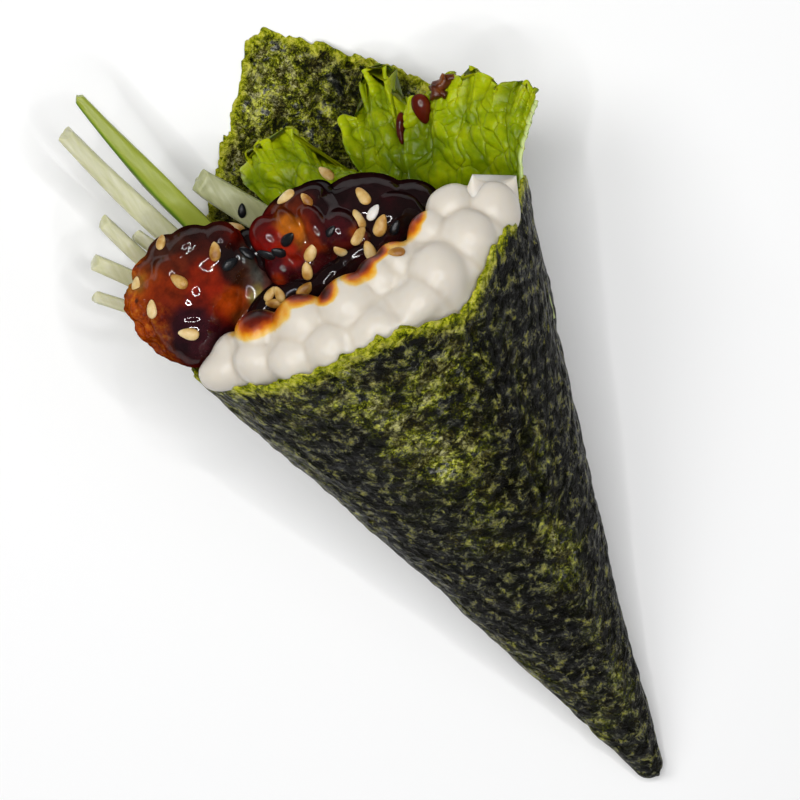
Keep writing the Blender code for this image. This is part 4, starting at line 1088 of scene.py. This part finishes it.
# ------------------------------------------------------------------------------- the glaze
# Sweet soy glaze that ran off the fish: a pool between the fish and the cream, and drops that
# fell on the lettuce. It is thick as syrup, so its edges are round.
# The pool's swellings are (x, y, z, radius x, radius y, radius z).
POOL = (
    (4.2, 110.0, 37.2, 5.8, 3.2, 3.2), (8.3, 107.1, 37.2, 4.4, 3.2, 3.2), (0.6, 114.2, 36.6, 3.4, 2.4, 3.2),
    (-4.2, 114.6, 35.4, 3.4, 1.8, 2.8), (11.8, 103.6, 38.0, 3.0, 2.4, 3.2), (13.8, 102.0, 38.2, 2.0, 1.4, 2.8),
    (8.6, 105.0, 38.6, 6.0, 4.0, 3.2), (3.2, 102.8, 39.2, 6.2, 3.2, 3.4), (-3.6, 102.2, 39.4, 5.2, 2.8, 3.4),
    (-9.8, 103.2, 39.2, 4.4, 2.6, 3.2), (-14.6, 103.0, 38.6, 3.4, 2.2, 3.0), (-11.6, 110.8, 35.6, 2.2, 4.4, 3.0),
)


def make_sauce(name, stops):
    """Soy glaze on its own: syrup from nearly black to red-brown where it is thin, wet and shiny."""
    material, shader = new_material(name)
    place = add_node(material, "TexCoord").outputs["Object"]
    tone = add_node(material, "TexNoise", {"Vector": place, "Scale": 260.0, "Detail": 3.0}).outputs["Fac"]
    colour = add_node(material, "ValToRGB", {"Fac": tone}, stops=stops).outputs[0]
    waves = add_node(material, "TexNoise", {"Vector": place, "Scale": 330.0, "Detail": 1.0}).outputs["Fac"]
    bump = add_node(material, "Bump", {"Height": waves, "Strength": 0.15, "Distance": 0.0005}).outputs[0]
    gloss = gloss_face_on(material, 0.3)
    set_inputs(material, shader, Base_Color=colour, Roughness=0.07, Normal=bump, Specular_IOR_Level=gloss)
    return material


pool_skin = fused_mesh("soy_glaze_pool", [ball(swelling[:3], swelling[3:]) for swelling in POOL], VOXEL, 30)
swell_mesh(pool_skin, 0.35 + crinkle(mesh_points(pool_skin), ((4.4, 0.4), (2.2, 0.2)), 150))
pool_material = make_sauce("soy_glaze_pooled", ((0.35, "#0e0606"), (0.55, "#190a0b"), (0.75, "#28090c")))
pool_piece = place_piece(pool_skin, pool_material, "sauce")


# ------------------------------------------------------------- sesame seeds, drops and a crumb
# Toasted sesame sprinkled on the wet glaze, with a few black seeds and one left white, and what
# dripped on the lettuce: drops of glaze and a crisp crumb of crust. Each is a flat teardrop of
# its own size. Each place is (x, y, heading in degrees, size against the usual).
TAN_SEEDS = (
    (-23.4, 120.4, 60, 0.9), (-12.2, 116.3, 150, 1.05), (-2.9, 116.5, 175, 1.1), (-0.4, 114.6, 100, 0.85),
    (-16.8, 115.0, 60, 1.05), (-24.0, 113.9, 112, 1.1), (-30.2, 116.6, 58, 0.95), (-29.9, 112.3, 62, 1.0),
    (-26.9, 106.1, 142, 1.1), (-4.0, 107.3, 38, 1.05), (0.0, 105.2, 95, 1.0), (-6.0, 105.1, 65, 1.0),
    (-7.8, 102.7, 10, 1.1), (-12.8, 104.8, 25, 0.9), (-11.6, 104.1, 90, 0.9), (-13.1, 103.3, 148, 0.9),
    (4.7, 115.6, 100, 1.05), (7.5, 110.5, 92, 1.1), (5.0, 107.8, 80, 1.15), (7.5, 105.2, 42, 1.2),
    (3.6, 105.7, 12, 1.15), (4.0, 102.8, 80, 1.1), (7.3, 101.0, 150, 0.9),
)
BLACK_SEEDS = (
    (-6.0, 110.9, 15, 1.0), (-15.8, 112.1, 0, 1.0), (-10.1, 110.5, 140, 1.0), (-8.3, 109.8, 120, 0.95),
    (-12.7, 112.2, 120, 0.95), (0.3, 108.6, 20, 0.7), (9.3, 103.8, 40, 0.85), (-10.1, 117.7, 60, 0.8),
)
WHITE_SEEDS = ((7.6, 107.5, 30, 0.95),)
DROPS = ((23.2, 117.0, 255, 1.3),)
STREAKS = ((19.0, 116.2, 235, 1.0), (18.2, 114.6, 250, 0.6))
CRUMBS = ((26.4, 118.2, 70, 1.0), (28.0, 118.9, 10, 1.1), (29.4, 118.8, 150, 0.75), (27.1, 117.4, 120, 0.6))
SEED_SIDES, SEED_RINGS = 18, 13


def teardrop(length, width, height, point, lumps=0.0):
    """A flat teardrop along +X: half width = sqrt(1 - x^2) * (1 - point * x), and height likewise."""
    x = np.cos(np.linspace(0.05, math.pi - 0.05, SEED_RINGS))[:, None]
    around = np.linspace(0.0, 2 * math.pi, SEED_SIDES, endpoint=False)[None, :]
    body = np.sqrt(1.0 - x * x) * (1.0 - point * x)
    shape = np.stack([
        length / 2 * x + 0 * around, width / 2 * body * np.cos(around), height / 2 * body * np.sin(around),
    ], axis=-1)
    return shape * (1.0 + lumps * lattice_noise(shape, 0.7, 3)[..., None])


def to_row(point):
    """A point in the roll's millimetres, as a vector in the row's metres."""
    return Vector(((np.asarray(point) + ROLL_TO_ROW) * MM).tolist())


def landing_faces(pieces):
    """All the faces that something can land on, ready for rays."""
    points, faces = [], []
    for piece in pieces:
        offset = len(points)
        points += [vertex.co for vertex in piece.data.vertices]
        faces += [[offset + i for i in polygon.vertices] for polygon in piece.data.polygons]
    return BVHTree.FromPolygons(points, faces)


def scattered_mesh(name, shape, places, landing, seed, upright=0.35, raised=0.25):
    """The shape at each place, dropped from above, turned to its heading and to the face it meets."""
    points, faces = [], []
    rows, columns = shape.shape[:2]
    index = np.arange(rows * columns).reshape(rows, columns)
    after = np.roll(index, -1, axis=1)
    quads = np.stack([index[:-1], index[1:], after[1:], after[:-1]], axis=-1).reshape(-1, 4)
    ends = [index[0].tolist(), index[-1, ::-1].tolist()]
    lift = raised * shape[..., 2].max()
    for number, (x, y, heading, size) in enumerate(places):
        hit, normal, _, _ = landing.ray_cast(to_row((x, y, 80.0)), Vector((0.0, 0.0, -1.0)))
        if hit is None:
            print("MISSED", name, x, y)
            continue
        spot = np.array(hit) / MM - ROLL_TO_ROW
        up = unit(np.array(normal) + (0.0, 0.0, upright))
        turn = math.radians(heading)
        ahead = np.array((math.cos(turn), math.sin(turn), 0.0))
        ahead = unit(ahead - up * (ahead @ up))
        side = np.cross(up, ahead)
        local = shape * size * (1.0 + 0.06 * lattice_noise(shape + 10.0 * number, 0.9, seed)[..., None])
        turned = spot + up * lift + local[..., :1] * ahead + local[..., 1:2] * side + local[..., 2:] * up
        offset = len(points) * rows * columns
        points.append(turned.reshape(-1, 3))
        faces += (quads + offset).tolist() + [[i + offset for i in end] for end in ends]
    mesh = bpy.data.meshes.new(name)
    mesh.from_pydata(((np.concatenate(points) + ROLL_TO_ROW) * MM).tolist(), [], faces)
    mesh.shade_smooth()
    return mesh


def make_sesame(name, stops, gloss):
    """Sesame seed coat: dull and finely pitted under a film of glaze, paler or darker by turns."""
    material, shader = new_material(name)
    place = add_node(material, "TexCoord").outputs["Object"]
    mottle = add_node(material, "TexNoise", {"Vector": place, "Scale": 520.0, "Detail": 4.0}).outputs["Fac"]
    own = add_node(material, "TexNoise", {"Vector": place, "Scale": 130.0, "Detail": 0.0}).outputs["Fac"]
    tone = add_node(material, "Mix", {0: 0.5, 2: mottle, 3: own}, data_type="FLOAT").outputs[0]
    colour = add_node(material, "ValToRGB", {"Fac": tone}, stops=stops).outputs[0]
    fine = add_node(material, "TexNoise", {"Vector": place, "Scale": 2600.0, "Detail": 2.0}).outputs["Fac"]
    bump = add_node(material, "Bump", {"Height": fine, "Strength": 0.25, "Distance": 0.0002}).outputs[0]
    set_inputs(
        material, shader, Base_Color=colour, Roughness=gloss, Normal=bump, Specular_IOR_Level=0.4,
        Subsurface_Weight=0.2, Subsurface_Radius=(0.5, 0.35, 0.2), Subsurface_Scale=0.0005,
    )
    return material


seed_shape = teardrop(3.0, 1.7, 0.95, 0.24)
green_pieces = [piece for piece in bpy.data.objects if piece.name.endswith(("_leaf", "_cut"))]
on_fish = landing_faces(fish_pieces + [pool_piece, cream_piece] + green_pieces)
on_leaves = landing_faces([piece for piece in bpy.data.objects if piece.name.endswith("_leaf")] + [pool_piece])
for name, places, shape, landing, material in (
    ("sesame_toasted", TAN_SEEDS, seed_shape, on_fish,
     make_sesame("sesame_toasted_coat", ((0.36, "#8a5a1e"), (0.45, "#b0843e"), (0.53, "#c9a868"), (0.64, "#dcc592")), 0.38)),
    ("sesame_black", BLACK_SEEDS, seed_shape, on_fish,
     make_sesame("sesame_black_coat", ((0.3, "#060708"), (0.5, "#101215"), (0.7, "#1f2225")), 0.3)),
    ("sesame_white", WHITE_SEEDS, seed_shape, on_fish,
     make_sesame("sesame_white_coat", ((0.3, "#c4c0b8"), (0.5, "#dad6ce"), (0.7, "#ece8e0")), 0.35)),
):
    place_piece(scattered_mesh(name, shape, places, landing, 170), material, "sesame")
drop_material = make_sauce("soy_glaze_thin_drop", ((0.35, "#3a0d06"), (0.6, "#581a0a"), (0.75, "#74290f")))
for name, shape, places in (
    ("soy_glaze_drop", teardrop(3.9, 2.3, 1.5, 0.3), DROPS),
    ("soy_glaze_streak", teardrop(4.4, 1.5, 0.9, 0.15), STREAKS),
):
    place_piece(scattered_mesh(name, shape, places, on_leaves, 180, 2.0, 0.7), drop_material, "sauce")
place_piece(
    scattered_mesh("crisp_crumb", teardrop(2.8, 1.8, 1.5, 0.15, 0.5), CRUMBS, on_leaves, 190, 1.0, 0.5),
    make_sesame("crumb_of_fried_crust", ((0.35, "#240e05"), (0.5, "#532309"), (0.65, "#8a4d14"), (0.75, "#b9872a")), 0.3),
    "sauce",
)


# ------------------------------------------------------------------------------ the stage
# A plain pale table top, a wide soft key light, a ring light round the lens and a pale room.
CAMERA_TARGET = np.array((-3.9, 75.9, 0.0))
CAMERA_DISTANCE, CAMERA_TILT = 620.0, math.radians(5.7)
CAMERA_UP = Vector((0.511, 0.859, 0.0))
CAMERA_FIELD = math.degrees(2 * math.atan(400.0 / 3676.6))


camera_data = bpy.data.cameras.new("camera")
camera_data.sensor_fit = "HORIZONTAL"
camera_data.angle = math.radians(CAMERA_FIELD)
camera_data.clip_start, camera_data.clip_end = 0.01, 20.0
camera = bpy.data.objects.new("camera", camera_data)
bpy.context.scene.collection.objects.link(camera)
lens_place = CAMERA_TARGET + CAMERA_DISTANCE * np.array((0.0, math.sin(CAMERA_TILT), math.cos(CAMERA_TILT)))
target, place_at = to_row(CAMERA_TARGET), to_row(lens_place)


def aimed_matrix(place, target, up):
    """The matrix at a place whose -Z points to the target and whose +Y leans to up."""
    forward = (target - place).normalized()
    right = forward.cross(up).normalized()
    turned = right.cross(forward)
    columns = Matrix((right, turned, -forward)).transposed().to_4x4()
    return Matrix.Translation(place) @ columns


camera.matrix_world = aimed_matrix(place_at, target, CAMERA_UP)
bpy.context.scene.camera = camera
bpy.context.scene.view_settings.view_transform = "Standard"

floor_mesh = bpy.data.meshes.new("table_top")
reach = 3.0
floor_mesh.from_pydata([(-reach, -reach, 0), (reach, -reach, 0), (reach, reach, 0), (-reach, reach, 0)], [], [(0, 1, 2, 3)])
floor = bpy.data.objects.new("table_top", floor_mesh)
bpy.context.scene.collection.objects.link(floor)
floor_material, floor_shader = new_material("table_top_white_matt")
set_inputs(floor_material, floor_shader, Base_Color=hex_colour("#fafafa"), Roughness=0.8, Specular_IOR_Level=0.2)
floor_mesh.materials.append(floor_material)


def area_light(name, place, size, power, colour="#ffffff"):
    """A square soft light of this size in metres, aimed at the roll's middle."""
    data = bpy.data.lights.new(name, "AREA")
    data.size, data.energy = size, power
    data.color = hex_colour(colour)[:3]
    light = bpy.data.objects.new(name, data)
    bpy.context.scene.collection.objects.link(light)
    light.matrix_world = aimed_matrix(Vector(place), Vector((0.0, 0.0, 0.02)), Vector((0.0, 1.0, 0.001)))
    return light


for name, place, size, power in (
    ("key_light", (-0.4, 0.5, 0.85), 0.4, 3.4),
    ("fill_light", (0.5, -0.3, 0.7), 0.4, 0.4),
):
    area_light(name, place, size, power).visible_glossy = False  # only the ring is seen in the glaze
RING_LAMPS, RING_RADIUS = 36, 0.17
for lamp in range(RING_LAMPS):
    turn = 2 * math.pi * lamp / RING_LAMPS
    area_light(f"ring_light_{lamp}", (RING_RADIUS * math.cos(turn), 0.06 + RING_RADIUS * math.sin(turn), 0.6), 0.009, 0.075)

world = bpy.data.worlds.new("pale_room")
world.use_nodes = True
world.node_tree.nodes["Background"].inputs["Color"].default_value = hex_colour("#f6f7fa")
world.node_tree.nodes["Background"].inputs["Strength"].default_value = 0.12
bpy.context.scene.world = world
